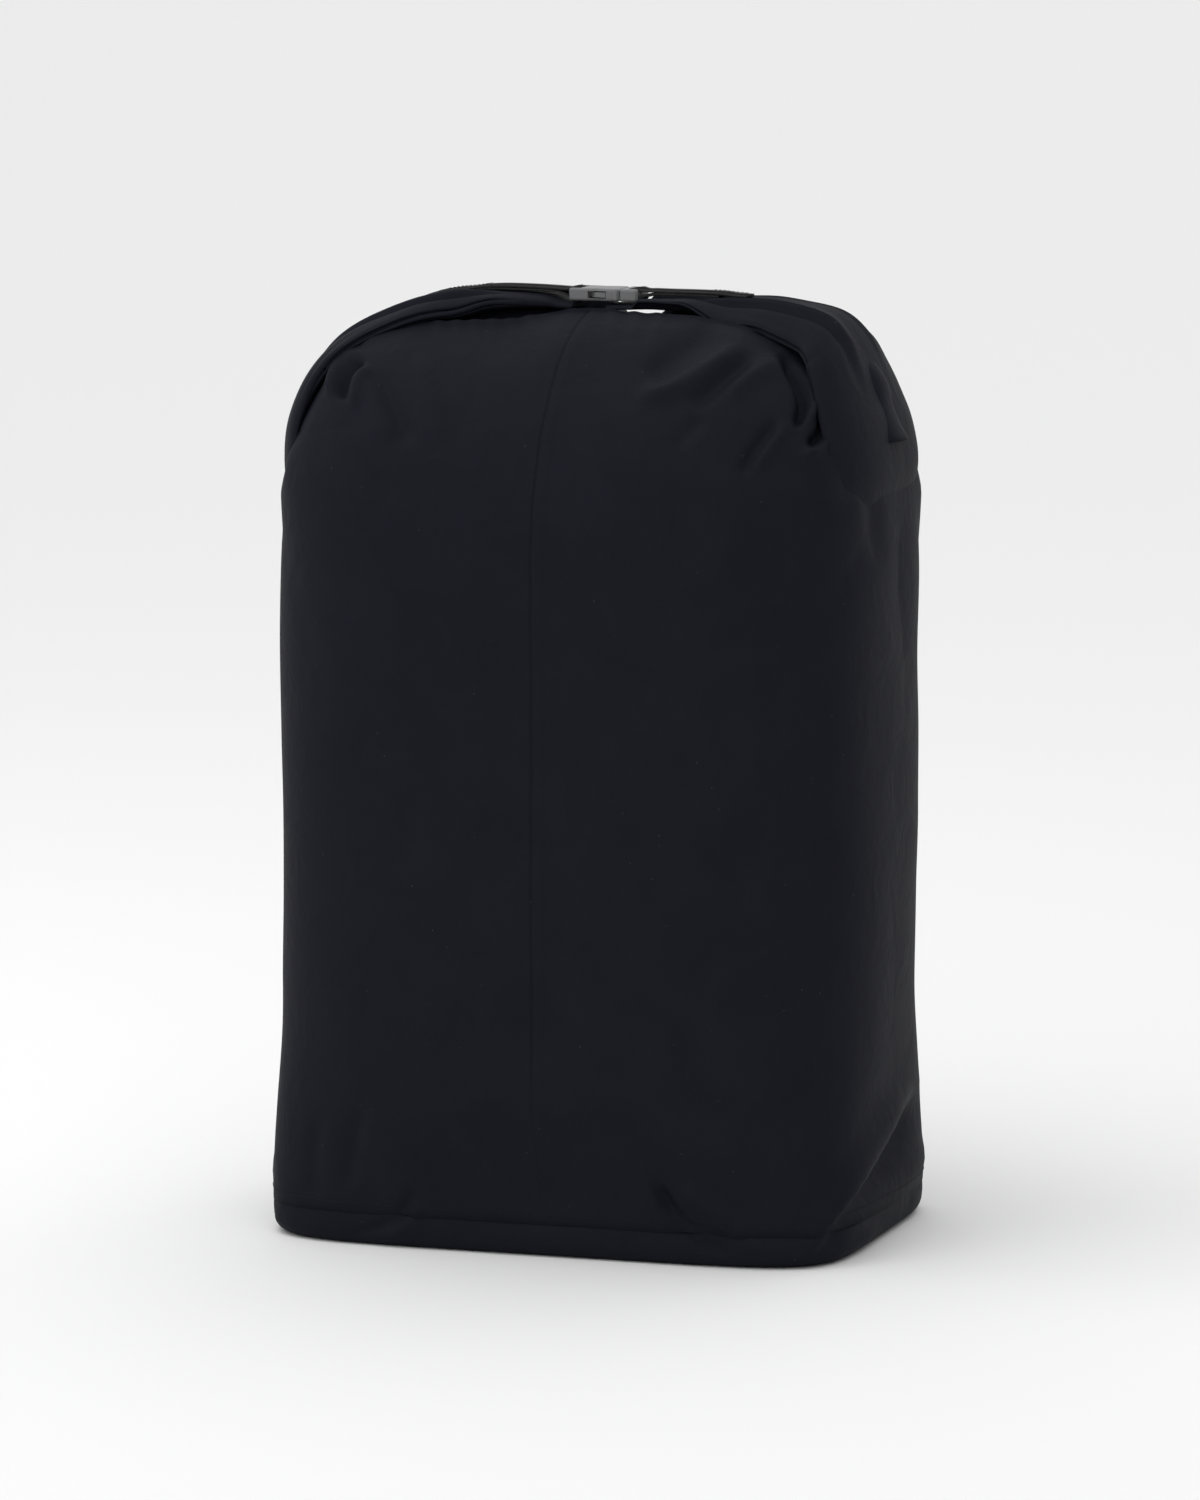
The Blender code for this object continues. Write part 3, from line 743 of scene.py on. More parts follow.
@dataclass
class SackCloth:
    """The wrapped body of the sack and its flat base."""

    base_width: float = 0.320
    base_depth: float = 0.218
    base_squareness: float = 6.0
    base_wall: float = 0.019
    base_fillet: float = 0.0085
    belly_width: float = 0.327
    belly_depth: float = 0.235
    belly_squareness: float = 3.2
    belly_rise: float = 3.6
    shoulder_height: float = 0.350
    shoulder_fullness: float = 2.35
    side_lift: float = 0.076
    lip: float = 0.0003
    lap: float = 0.0014
    columns: int = 540
    wall_rows: int = 66
    dome_rows: int = 108
    seam_offset: float = 0.0003
    seam_row: int = 30
    wing_bed: float = 0.0035
    end_half: float = 0.020
    # Rows of x, height and half depth of the line where the cloth folds in to the roll
    crest: tuple[tuple[float, float, float], ...] = (
        (-0.152, 0.433, 0.058), (-0.142, 0.449, 0.055), (-0.127, 0.4640, 0.0495), (-0.112, 0.4735, 0.0430),
        (-0.090, 0.4785, 0.0355), (-0.060, 0.4800, 0.028), (-0.040, 0.4810, 0.024), (-0.022, 0.4850, 0.022),
        (-0.008, 0.4880, 0.021), (0.008, 0.4885, 0.021), (0.022, 0.4864, 0.022), (0.040, 0.4852, 0.024),
        (0.062, 0.4850, 0.027), (0.090, 0.4805, 0.034), (0.114, 0.4720, 0.041), (0.129, 0.4630, 0.047),
        (0.142, 0.449, 0.054), (0.152, 0.433, 0.058),
    )
    # Rows of x and how far the back of that line stands above the front
    back_rise: tuple[tuple[float, float], ...] = (
        (-0.060, 0.0), (-0.035, 0.004), (-0.002, 0.004), (0.005, -0.0085), (0.021, -0.0085), (0.033, 0.0),
    )
    # Rows of how narrow the folded-in cloth is and how far it has gone down
    hem: tuple[tuple[float, float], ...] = (
        (0.985, -0.0012), (0.955, -0.0006), (0.93, 0.003), (0.915, 0.010), (0.91, 0.018),
    )
    # What build_body leaves for the tapes and the sewing
    skin: np.ndarray = field(default_factory=lambda: np.zeros(0))
    outward: np.ndarray = field(default_factory=lambda: np.zeros(0))
    angles: np.ndarray = field(default_factory=lambda: np.zeros(0))

    def ring(self, half_x: float, half_y: float, squareness: float) -> np.ndarray:
        """Outline points of one level, as rows of x and y.

        Args:
            half_x: Half the level's width.
            half_y: Half its depth.
            squareness: How square its corners are.

        Returns:
            One row for each of the cloth's angles.
        """
        x = half_x * signed_power(np.cos(self.angles), 2 / squareness)
        y = half_y * signed_power(np.sin(self.angles), 2 / squareness)
        return np.stack([x, y], axis=1)

    def even_angles(self) -> np.ndarray:
        """Angles whose points are evenly spaced round the belly, and closer beside the front seam.

        Returns:
            One angle for each column of the cloth.
        """
        fine = np.linspace(0.0, 2 * math.pi, 20001)
        x = self.belly_width / 2 * signed_power(np.cos(fine), 2 / self.belly_squareness)
        y = self.belly_depth / 2 * signed_power(np.sin(fine), 2 / self.belly_squareness)
        step = np.hypot(np.diff(x), np.diff(y))
        middle_x, middle_y = (x[1:] + x[:-1]) / 2, (y[1:] + y[:-1]) / 2
        closer = 1.0 + 5.0 * np.exp(-((middle_x / 0.007) ** 2)) * (middle_y < 0)
        length = np.concatenate([[0.0], np.cumsum(step * closer)])
        wanted = np.linspace(0.0, length[-1], self.columns, endpoint=False)
        return np.interp(wanted, length, fine)

    def swell(self, height: float) -> float:
        """How far the wall has swollen from the base to the belly at a height."""
        share = (height - self.base_wall) / (self.shoulder_height - self.base_wall)
        return math.sin(math.pi / 2 * min(1.0, max(0.0, share * self.belly_rise)))

    def wall_level(self, share: float) -> np.ndarray:
        """Points of the wall at a share of the way from the base seam to the shoulder.

        Args:
            share: From 0 at the seam to 1 at the shoulder.

        Returns:
            Rows of x, y and z.
        """
        foot = self.base_wall - self.lap
        swell = self.swell(between(foot, self.shoulder_height, share))
        half_x = between(self.base_width / 2 + self.lip, self.belly_width / 2, swell)
        half_y = between(self.base_depth / 2 + self.lip, self.belly_depth / 2, swell)
        squareness = between(self.base_squareness, self.belly_squareness, swell)
        flat = self.ring(half_x, half_y, squareness)
        sideways = np.abs(flat[:, 0] / half_x) ** 6
        shoulder = self.shoulder_height + self.side_lift * sideways
        return np.column_stack([flat, between(foot, shoulder, share)])

    def crest_level(self) -> np.ndarray:
        """Points where the front and back cloth fold in, just under the edges of the wings.

        Returns:
            Rows of x, y and z.
        """
        across = signed_power(np.cos(self.angles), 2 / self.belly_squareness)
        side = signed_power(np.sin(self.angles), 2 / self.belly_squareness)
        x, height, half = (np.array(column) for column in zip(*self.crest))
        reach = across * x[-1]
        level = np.interp(reach, x, height)
        middle = np.interp(reach, x, half)
        place, rise = (np.array(column) for column in zip(*self.back_rise))
        level = level + np.clip(side, 0.0, 1.0) * np.interp(reach, place, rise)
        ends = np.abs(across) ** 10
        return np.column_stack([reach, side * between(middle, self.end_half, ends), level])

    def shape(self) -> np.ndarray:
        """The smooth sack before its folds, as rings of points from the base seam to the roll.

        Returns:
            Rings by points by 3.
        """
        self.angles = self.even_angles()
        tucked = self.wall_level(0.0) * np.array([0.985, 0.98, 1.0])
        shares = np.linspace(0.0, 1.0, self.wall_rows)
        rings = [tucked] + [self.wall_level(float(share)) for share in shares]
        low, high = rings[-1], self.crest_level()
        for k in range(1, self.dome_rows + 1):
            quarter = math.pi / 2 * k / self.dome_rows
            out = math.cos(quarter) ** (2 / self.shoulder_fullness)
            up = math.sin(quarter) ** (2 / self.shoulder_fullness)
            climb = 0.82 * up + 0.18 * (1.0 - out)
            ring = between(high, low, out)
            ring[:, 2] = between(low[:, 2], high[:, 2], climb)
            rings.append(ring)
        for narrow, drop in self.hem:
            ring = high * np.array([1.0 - 0.2 * (1.0 - narrow), narrow, 1.0])
            ring[:, 2] -= drop
            rings.append(ring)
        return np.array(rings)

    @staticmethod
    def fold_relief(points: np.ndarray, normals: np.ndarray) -> np.ndarray:
        """How far the drawn folds push the cloth out, at the front and turned round at the back.

        Args:
            points: Rows of x, y and z.
            normals: Unit normals of the cloth there.

        Returns:
            One offset outwards for each point, in metres.
        """
        offset = np.zeros(len(points))
        for turned in (False, True):
            spin = np.array([-1.0, -1.0, 1.0]) if turned else np.ones(3)
            pixels = CAMERA.project(points * spin)
            visible = smooth_step(((normals * spin) @ CAMERA.axes()[2] + 0.05) / 0.25)
            for fold in FRONT_FOLDS + SCALLOPS:
                offset += visible * fold.relief(pixels)
        return offset

    def relief(self, points: np.ndarray, normals: np.ndarray) -> np.ndarray:
        """How far each point of the body moves along its normal, in metres.

        Args:
            points: Rows of x, y and z.
            normals: Unit normals of the cloth there.

        Returns:
            One offset outwards for each point, in metres.
        """
        lumps = lumpy(points, *BODY_LUMPS)
        foot = smooth_step((points[:, 2] - self.base_wall + 0.002) / 0.020)
        sewn = foot * (lumps + self.seam_relief(points) + self.side_gathers(points))
        ends = smooth_step((np.abs(points[:, 0]) - 0.120) / 0.03)
        ends = ends * smooth_step((0.082 - np.abs(points[:, 1])) / 0.02)
        covered = -self.wing_bed * smooth_step((points[:, 2] - 0.388) / 0.022) * ends
        return sewn + covered + (0.5 + 0.5 * foot) * self.fold_relief(points, normals)

    def seam_relief(self, points: np.ndarray) -> np.ndarray:
        """The lapped front seam: a sewn groove, a raised lap beside it and small puckers.

        Args:
            points: Rows of x, y and z.

        Returns:
            One offset outwards for each point, in metres.
        """
        x, z = points[:, 0], points[:, 2]
        front = smooth_step((-points[:, 1] - 0.010) / 0.015)
        groove = -0.0006 * np.exp(-((x / 0.0007) ** 2))
        lap = 0.00035 * np.exp(-(((x - 0.0036) / 0.0030) ** 4))
        wave = np.sin(z / 0.0062 + 1.4 * np.sin(z / 0.031)) * np.exp(-((x / 0.011) ** 2))
        return front * (groove + lap + 0.00035 * wave - 0.0010 * np.exp(-((x / 0.024) ** 2)))

    def side_gathers(self, points: np.ndarray) -> np.ndarray:
        """Gathers that fan out under the two ends of the roll.

        Args:
            points: Rows of x, y and z.

        Returns:
            One offset outwards for each point, in metres.
        """
        total = np.zeros(len(points))
        for side in Side:
            away = points - np.array([side.value * 0.158, 0.0, 0.425])
            reach = np.linalg.norm(away, axis=1)
            fan = np.arctan2(away[:, 1], -away[:, 2])
            wobble = lumpy(points, GATHER_WOBBLE)
            pleat = np.abs(np.sin(4.0 * fan + wobble)) ** 0.8 - 0.5
            strength = smooth_step((reach - 0.035) / 0.05) * np.exp(-((reach / 0.11) ** 2))
            total += 0.0030 * pleat * strength * smooth_step((points[:, 0] * side.value - 0.08) / 0.05)
        return total

    def build_body(self) -> bpy.types.Object:
        """Builds the wrapped body with its folds and seam.

        Returns:
            The body's object, with a UV map in metres of cloth.
        """
        smooth = self.shape()
        normals = grid_normals(smooth)
        flat = smooth.reshape(-1, 3)
        offset = self.relief(flat, normals.reshape(-1, 3))
        self.skin = (flat + normals.reshape(-1, 3) * offset[:, None]).reshape(smooth.shape)
        self.outward = grid_normals(self.skin)
        round_way = np.linalg.norm(np.diff(smooth[0], axis=0, append=smooth[0][:1]), axis=1)
        across = np.concatenate([[0.0], np.cumsum(round_way)])
        up_way = np.linalg.norm(np.diff(smooth[:, 0], axis=0), axis=1)
        along = np.concatenate([[0.0], np.cumsum(up_way)])
        uv = np.stack(np.meshgrid(across, along), axis=2)
        return grid_object("body_cloth", self.skin, uv)

    def base_level(self, inset: float, height: float) -> np.ndarray:
        """Points of the base's outline, drawn in by an inset, at a height."""
        flat = self.ring(self.base_width / 2 - inset, self.base_depth / 2 - inset, self.base_squareness)
        return np.column_stack([flat, np.full(self.columns, height)])

    def build_base(self) -> bpy.types.Object:
        """Builds the base: flat floor, turned-up edge and the fold that it is sewn along.

        Returns:
            The base's object.
        """
        profile = [(self.base_fillet * 2.2, 0.0)]
        for k in range(9):
            quarter = math.pi / 2 * k / 8
            inset, height = 1 - math.sin(quarter), 1 - math.cos(quarter)
            profile.append((self.base_fillet * inset, self.base_fillet * height))
        for k in range(1, 13):
            profile.append((-0.0003 * math.sin(math.pi * k / 12), self.base_fillet + 0.0088 * k / 12))
        profile += [(0.0004, 0.0180), (0.0011, 0.0183), (0.0022, 0.0180), (0.0030, 0.0165), (0.0032, 0.012)]
        grid = np.array([self.base_level(inset, height) for inset, height in profile])
        points = grid.reshape(-1, 3)
        outward = np.column_stack([points[:, :2], np.zeros(len(points))])
        outward /= np.linalg.norm(outward, axis=1, keepdims=True)
        wave = lumpy(points, *BASE_LUMPS)
        wave *= smooth_step((0.0165 - points[:, 2]) / 0.004)
        lifted = smooth_step((points[:, 2] - 0.001) / 0.010)
        wave = (wave + 0.5 * self.fold_relief(points, outward)) * lifted
        points = points + outward * wave[:, None]
        return grid_object("base_cloth", points.reshape(grid.shape))

    def build_base_tape(self) -> bpy.types.Object:
        """Builds the binding tape that runs round inside the base seam.

        Returns:
            The tape's object.
        """
        section = ((0.0075, 0.0100), (0.0083, 0.0100), (0.0083, 0.0180), (0.0075, 0.0180))
        grid = np.array([self.base_level(inset, height) for inset, height in section])[:, ::3]
        return grid_object("base_seam_tape", grid[::-1], loop=True)

    def front_column(self, x: float) -> int:
        """The column of points that runs up the front nearest to a place across it."""
        level = self.skin[self.seam_row]
        return int(np.argmin(np.abs(level[:, 0] - x) + (level[:, 1] > 0.0)))

    def seam_line(self) -> np.ndarray:
        """Points of the front seam's sewing, just proud of the cloth.

        Returns:
            Rows of x, y and z.
        """
        column = self.front_column(self.seam_offset)
        rows = slice(3, self.skin.shape[0] - 10)
        return self.skin[rows, column] + self.outward[rows, column] * 0.00015

    def build_tape(self) -> bpy.types.Object:
        """Builds the binding tape behind the front seam, just inside the cloth.

        Returns:
            The tape's object.
        """
        column = self.front_column(0.0)
        rows = slice(12, self.skin.shape[0] - 40)
        line, outward = self.skin[rows, column], self.outward[rows, column]
        corners = ((-0.0045, 0.0026), (0.0045, 0.0026), (0.0045, 0.0034), (-0.0045, 0.0034))
        edges = [line - outward * depth + np.array([across, 0.0, 0.0]) for across, depth in corners]
        return grid_object("front_seam_tape", np.stack(edges, axis=1))

    def base_line(self) -> np.ndarray:
        """Points of the base seam's sewing, just above the edge of the body's lap."""
        return self.skin[2] + self.outward[2] * 0.00012


# The rolled mouth and the wings


@dataclass(frozen=True)
class RolledMouth:
    """The roll that closes the sack, mostly hidden under the wings."""

    stations: int = 120
    round_points: int = 48
    slack: float = 0.0006

    @staticmethod
    def top(turn: np.ndarray) -> np.ndarray:
        """How far the roll stands up from its centre line, to just under the wings.

        Args:
            turn: Places along the roll, from -1 to 1.

        Returns:
            One height for each place, in metres.
        """
        height = np.zeros_like(turn)
        centre = ARCH.point(turn)
        for side in Side:
            rows = Wing(side).path()[::-1]
            floor = np.interp(np.abs(centre[:, 0]), rows[:, 0], rows[:, 1] - rows[:, 3]) - 0.0003
            height = np.where(centre[:, 0] * side.value >= 0, floor - centre[:, 2], height)
        limit = np.interp(centre[:, 0], (-0.004, 0.007, 0.031, 0.046), (0.020, 0.0075, 0.0075, 0.020))
        return np.clip(height, 0.005, limit)

    def build(self) -> bpy.types.Object:
        """Builds the roll with the lines of its turns.

        Returns:
            The roll's object.
        """
        turn = np.linspace(-0.985, 0.985, self.stations)
        angle = np.linspace(0.0, 2 * math.pi, self.round_points, endpoint=False)
        up = signed_power(np.sin(angle), 0.9)
        across = signed_power(np.cos(angle), 0.8)
        step = 1.0 - 0.10 * (angle / (2 * math.pi))
        centre, normal = ARCH.point(turn), ARCH.normal(turn)
        under = (ARCH.half_thickness(turn) - self.slack)[:, None]
        half = np.where(up[None, :] > 0, self.top(turn)[:, None], under)
        tall = half * up * step
        wide = (ARCH.half_width(turn) - self.slack)[:, None] * across * step
        grid = centre[:, None, :] + normal[:, None, :] * tall[:, :, None]
        grid[:, :, 1] += wide
        flat = grid.reshape(-1, 3)
        wave = lumpy(flat, *ROLL_LUMPS)
        inward = np.abs(wave).reshape(grid.shape[:2]) * (1.0 - 0.85 * smooth_step(up / 0.6))
        grid = grid - grid_normals(grid) * inward[:, :, None]
        return grid_object("rolled_mouth_cloth", grid)


@dataclass(frozen=True)
class WingShape:
    """How one wing lies: rows of x, height of its top, half width and thickness, and its folds.

    Each crease is a place across the wing from -1 at the front to 1 at the back, a depth in metres and how
    far the crease wanders.
    """

    rows: tuple[tuple[float, float, float, float], ...]
    edge_drop: float
    edge_drop_side: float
    ply_depth: float
    creases: tuple[tuple[float, float, float], ...]


WING_SHAPES: dict[Side, WingShape] = {
    Side.LEFT: WingShape(
        rows=(
            (0.1560, 0.372, 0.078, 0.006), (0.1605, 0.392, 0.076, 0.008), (0.1622, 0.410, 0.073, 0.010),
            (0.1608, 0.428, 0.068, 0.012), (0.1545, 0.446, 0.063, 0.013), (0.1460, 0.4600, 0.058, 0.013),
            (0.1340, 0.4724, 0.051, 0.0125), (0.1155, 0.4832, 0.043, 0.012), (0.0910, 0.4922, 0.035, 0.011),
            (0.0660, 0.4950, 0.027, 0.0100), (0.0450, 0.4951, 0.022, 0.0085), (0.0330, 0.4945, 0.019, 0.0075),
            (0.0245, 0.4934, 0.017, 0.0065), (0.0180, 0.4914, 0.015, 0.0050), (0.0110, 0.4905, 0.014, 0.0045),
        ),
        edge_drop=0.0048,
        edge_drop_side=0.0,
        ply_depth=0.0030,
        creases=((-0.60, 0.0026, 0.10), (-0.15, 0.0014, 0.16), (0.30, 0.0018, 0.12), (0.68, 0.0020, 0.10)),
    ),
    Side.RIGHT: WingShape(
        rows=(
            (0.1560, 0.372, 0.078, 0.006), (0.1618, 0.392, 0.076, 0.008), (0.1640, 0.410, 0.073, 0.011),
            (0.1608, 0.430, 0.069, 0.014), (0.1548, 0.447, 0.064, 0.016), (0.1488, 0.462, 0.058, 0.016),
            (0.1418, 0.4765, 0.051, 0.015), (0.1280, 0.4880, 0.043, 0.013), (0.1010, 0.4938, 0.035, 0.011),
            (0.0800, 0.4945, 0.030, 0.0095), (0.0680, 0.4938, 0.027, 0.0080), (0.0600, 0.4924, 0.024, 0.0060),
            (0.0520, 0.4912, 0.022, 0.0042), (0.0450, 0.4908, 0.020, 0.0034), (0.0330, 0.4907, 0.018, 0.0028),
            (0.0245, 0.4905, 0.016, 0.0028), (0.0160, 0.4902, 0.014, 0.0028), (0.0070, 0.4900, 0.013, 0.0028),
        ),
        edge_drop=0.0100,
        edge_drop_side=0.0080,
        ply_depth=0.0020,
        creases=((-0.46, 0.0042, 0.06), (-0.10, 0.0014, 0.16), (0.34, 0.0022, 0.10), (0.70, 0.0022, 0.08)),
    ),
}


@dataclass(frozen=True)
class Wing:
    """One end of the roll, drawn up over the shoulder and in to the buckle."""

    side: Side
    stations: int = 170
    round_points: int = 112
    wrap_half_width: float = 0.1635
    wrap_half_depth: float = 0.1175
    wrap_squareness: float = 3.2
    tongue_floor: float = 0.4909
    lip: float = 0.0038

    def path(self) -> np.ndarray:
        """Rows of x, height of the top, half width and thickness, from the side to the tip."""
        return smooth_path(np.array(WING_SHAPES[self.side].rows), self.stations)

    def band(self, across: np.ndarray, up: np.ndarray, reach: np.ndarray) -> np.ndarray:
        """The smooth band, wrapped round the sack at its side end and flat towards its tip.

        Args:
            across: Place of each point of a ring across the band, from -1 to 1.
            up: Place of each point of a ring through the band, from -1 to 1.
            reach: Share of the way along the band, for each ring.

        Returns:
            Rings by points by 3, as on the right side.
        """
        shape = WING_SHAPES[self.side]
        rows = self.path()
        x, z, half, thick = rows.T
        along = np.gradient(rows[:, :2], axis=0)
        along /= np.linalg.norm(along, axis=1, keepdims=True)
        normal = np.stack([along[:, 1], -along[:, 0]], axis=1)
        plan = np.clip(np.abs(half[:, None] * across) / self.wrap_half_depth, 0.0, 0.99)
        power = self.wrap_squareness
        wrapped = self.wrap_half_width * (1.0 - (1.0 - plan**power) ** (1 / power))
        over = smooth_step((reach - 0.18) / 0.45)[:, None]
        edge = shape.edge_drop * (1.0 - 0.94 * smooth_step((0.075 - x) / 0.025))
        edge = (edge + shape.edge_drop_side * smooth_step((x - 0.09) / 0.04))[:, None]
        droop = wrapped * (1.0 - over) + edge * np.abs(across) ** 2.4 * over
        rise = thick[:, None] / 2 * (up - 1.0) - droop
        points = np.zeros((self.stations, self.round_points, 3))
        points[:, :, 0] = x[:, None] + normal[:, :1] * rise
        points[:, :, 2] = z[:, None] + normal[:, 1:] * rise
        plies = 0.5 + 0.5 * np.cos(2 * math.pi * (1.45 * up + 0.45 * np.sin(reach * 7.0)[:, None]))
        open_plies = smooth_step((reach - 0.2) / 0.3) * smooth_step((x - 0.035) / 0.03)
        tuck = shape.ply_depth * plies**3 * np.abs(across) ** 6 * open_plies[:, None]
        points[:, :, 1] = np.sign(across) * (half[:, None] * np.abs(across) - tuck)
        return points

    def clear_tongue(self, points: np.ndarray) -> None:
        """Keeps the right wing under the tongue's way out, with a lip on each side of the webbing.

        Args:
            points: Rings of the wing, changed in place.
        """
        x, y = points[:, :, 0], points[:, :, 1]
        ceiling = self.tongue_floor + 0.35 * np.maximum(x - 0.046, 0.0)
        beside = smooth_step((np.abs(y) - 0.0112) / 0.0025)
        near = smooth_step((0.082 - x) / 0.036) * smooth_step((x - 0.0215) / 0.005)
        points[:, :, 2] = np.minimum(points[:, :, 2], ceiling) + self.lip * beside * near

    def build(self) -> bpy.types.Object:
        """Builds the wing: a flattened band of folded cloth with rounded edges and long creases.

        Returns:
            The wing's object.
        """
        angle = np.linspace(0.0, 2 * math.pi, self.round_points, endpoint=False)
        across = signed_power(np.cos(angle), 0.62)
        up = signed_power(np.sin(angle), 0.75)
        reach = np.linspace(0.0, 1.0, self.stations)
        points = self.band(across, up, reach)
        outward = grid_normals(points) * (-1.0 if faces_inwards(points) else 1.0)
        points += outward * self.relief(points, across, reach)[:, :, None]
        if self.side is Side.LEFT:
            points[:, :, 0] *= -1.0
        else:
            self.clear_tongue(points)
            points = points[:, ::-1]
        return grid_object(f"{self.side.label}_wing_cloth", points)

    def relief(self, points: np.ndarray, across: np.ndarray, reach: np.ndarray) -> np.ndarray:
        """Long creases along the band and soft lumps.

        Args:
            points: Rings of the smooth band.
            across: Place of each point of a ring across the band, from -1 to 1.
            reach: Share of the way along the band, for each ring.

        Returns:
            How far each point moves outwards, in metres.
        """
        flat = points.reshape(-1, 3) * np.array([self.side.value, 1.0, 1.0])
        shape = points.shape[:2]
        lumps = lumpy(flat, *WING_LUMPS)
        creases = np.zeros(shape)
        for place, depth, wander in WING_SHAPES[self.side].creases:
            line = place + wander * np.sin(reach * 5.0 + place * 9.0)
            creases -= depth * np.exp(-(((across[None, :] - line[:, None]) / 0.055) ** 2))
            creases += 0.7 * depth * np.exp(-(((across[None, :] - line[:, None] - 0.13) / 0.09) ** 2))
        fade = smooth_step((reach - 0.20) / 0.32)[:, None] * smooth_step((points[:, :, 0] - 0.038) / 0.04)
        return (lumps.reshape(shape) + creases) * fade


# Webbing


@dataclass(frozen=True)
class WebbingTab:
    """A doubled strip of ribbed webbing, folded round a bar of the buckle and sewn to a wing."""

    side: Side
    bar: float
    top: tuple[tuple[float, float], ...]
    below: tuple[tuple[float, float], ...]
    height: float = 0.4948
    width: float = 0.015
    thickness: float = 0.0013
    loop: float = 0.0031
    sewn_from: float = 0.062
    sewn_half: float = 0.0055
    stations: int = 130
    round_points: int = 20

    def middle(self) -> np.ndarray:
        """Middle line of the strip: in along the top, round the bar and back below.

        Returns:
            Rows of x and z.
        """
        top = [*self.top, (self.bar + 0.0035, 0.0022)]
        angles = np.linspace(math.pi / 2, -math.pi / 2, 9)
        turn = [(self.bar - self.loop * math.cos(a), self.loop * math.sin(a)) for a in angles]
        below = [(self.bar + 0.0030, -0.0010), *self.below]
        rows = [(self.side.value * x, self.height + rise) for x, rise in top + turn + below]
        return smooth_path(np.array(rows), self.stations)

    def build(self) -> bpy.types.Object:
        """Builds the plain strip that carries the ribs.

        Returns:
            The strip's object.
        """
        line = self.middle()
        along = np.gradient(line, axis=0)
        along /= np.linalg.norm(along, axis=1, keepdims=True)
        normal = np.stack([-along[:, 1], along[:, 0]], axis=1)
        angle = np.linspace(0.0, 2 * math.pi, self.round_points, endpoint=False)
        across = self.width / 2 * signed_power(np.cos(angle), 0.35)
        up = (self.thickness / 2 - 0.0001) * signed_power(np.sin(angle), 0.6)
        grid = np.zeros((self.stations, self.round_points, 3))
        grid[:, :, 0] = line[:, :1] + normal[:, :1] * up
        grid[:, :, 2] = line[:, 1:] + normal[:, 1:] * up
        grid[:, :, 1] = across
        if faces_inwards(grid):
            grid = grid[:, ::-1]
        return grid_object(f"{self.side.label}_webbing", grid)

    def rib_line(self) -> np.ndarray:
        """Points along the strip's middle, for the ribs."""
        line = self.middle()
        return np.column_stack([line[:, 0], np.zeros(self.stations), line[:, 1]])

    def selvedge_lines(self) -> list[np.ndarray]:
        """Both edges of the strip, where the weft turns back."""
        edge = np.array([0.0, self.width / 2 - 0.0003, 0.0])
        return [self.rib_line() - edge, self.rib_line() + edge]

    def sewing_lines(self) -> list[np.ndarray]:
        """Box of sewing that holds the strip's end on the wing.

        Returns:
            Four lines, as rows of x, y and z.
        """
        place, rise = (np.array(column) for column in zip(*sorted(self.top)))
        inner, outer = self.sewn_from, self.top[0][0] - 0.003
        half = self.sewn_half
        runs = [[(x, y) for x in np.linspace(inner, outer, 12)] for y in (-half, half)]
        runs += [[(x, y) for y in np.linspace(-half, half, 8)] for x in (inner, outer)]
        lines = []
        for run in runs:
            level = [self.height + np.interp(x, place, rise) + self.thickness / 2 + 0.0003 for x, _ in run]
            lines.append(np.array([(self.side.value * x, y, z) for (x, y), z in zip(run, level)]))
        return lines


TABS: tuple[WebbingTab, ...] = (
    WebbingTab(
        Side.LEFT,
        0.0125,
        top=(
            (0.088, -0.0014), (0.078, 0.0004), (0.070, 0.0012), (0.062, 0.0024), (0.052, 0.0030),
            (0.036, 0.0029), (0.024, 0.0025),
        ),
        below=(
            (0.0185, 0.0002), (0.024, 0.0010), (0.034, 0.0014), (0.045, 0.0015), (0.055, 0.0015),
            (0.065, 0.0012),
        ),
    ),
    WebbingTab(
        Side.RIGHT,
        0.0223,
        top=(
            (0.082, 0.0007), (0.075, 0.0011), (0.067, 0.0019), (0.055, 0.0022), (0.040, 0.0022),
            (0.030, 0.0023),
        ),
        below=((0.0282, -0.0001), (0.034, 0.0008), (0.045, 0.0008), (0.055, 0.0007), (0.067, 0.0004)),
    ),
)


# What repeats: stitches and ribs


class RunShape(Enum):
    """What is repeated along a run."""

    STITCH = "stitch"
    RIB = "rib"


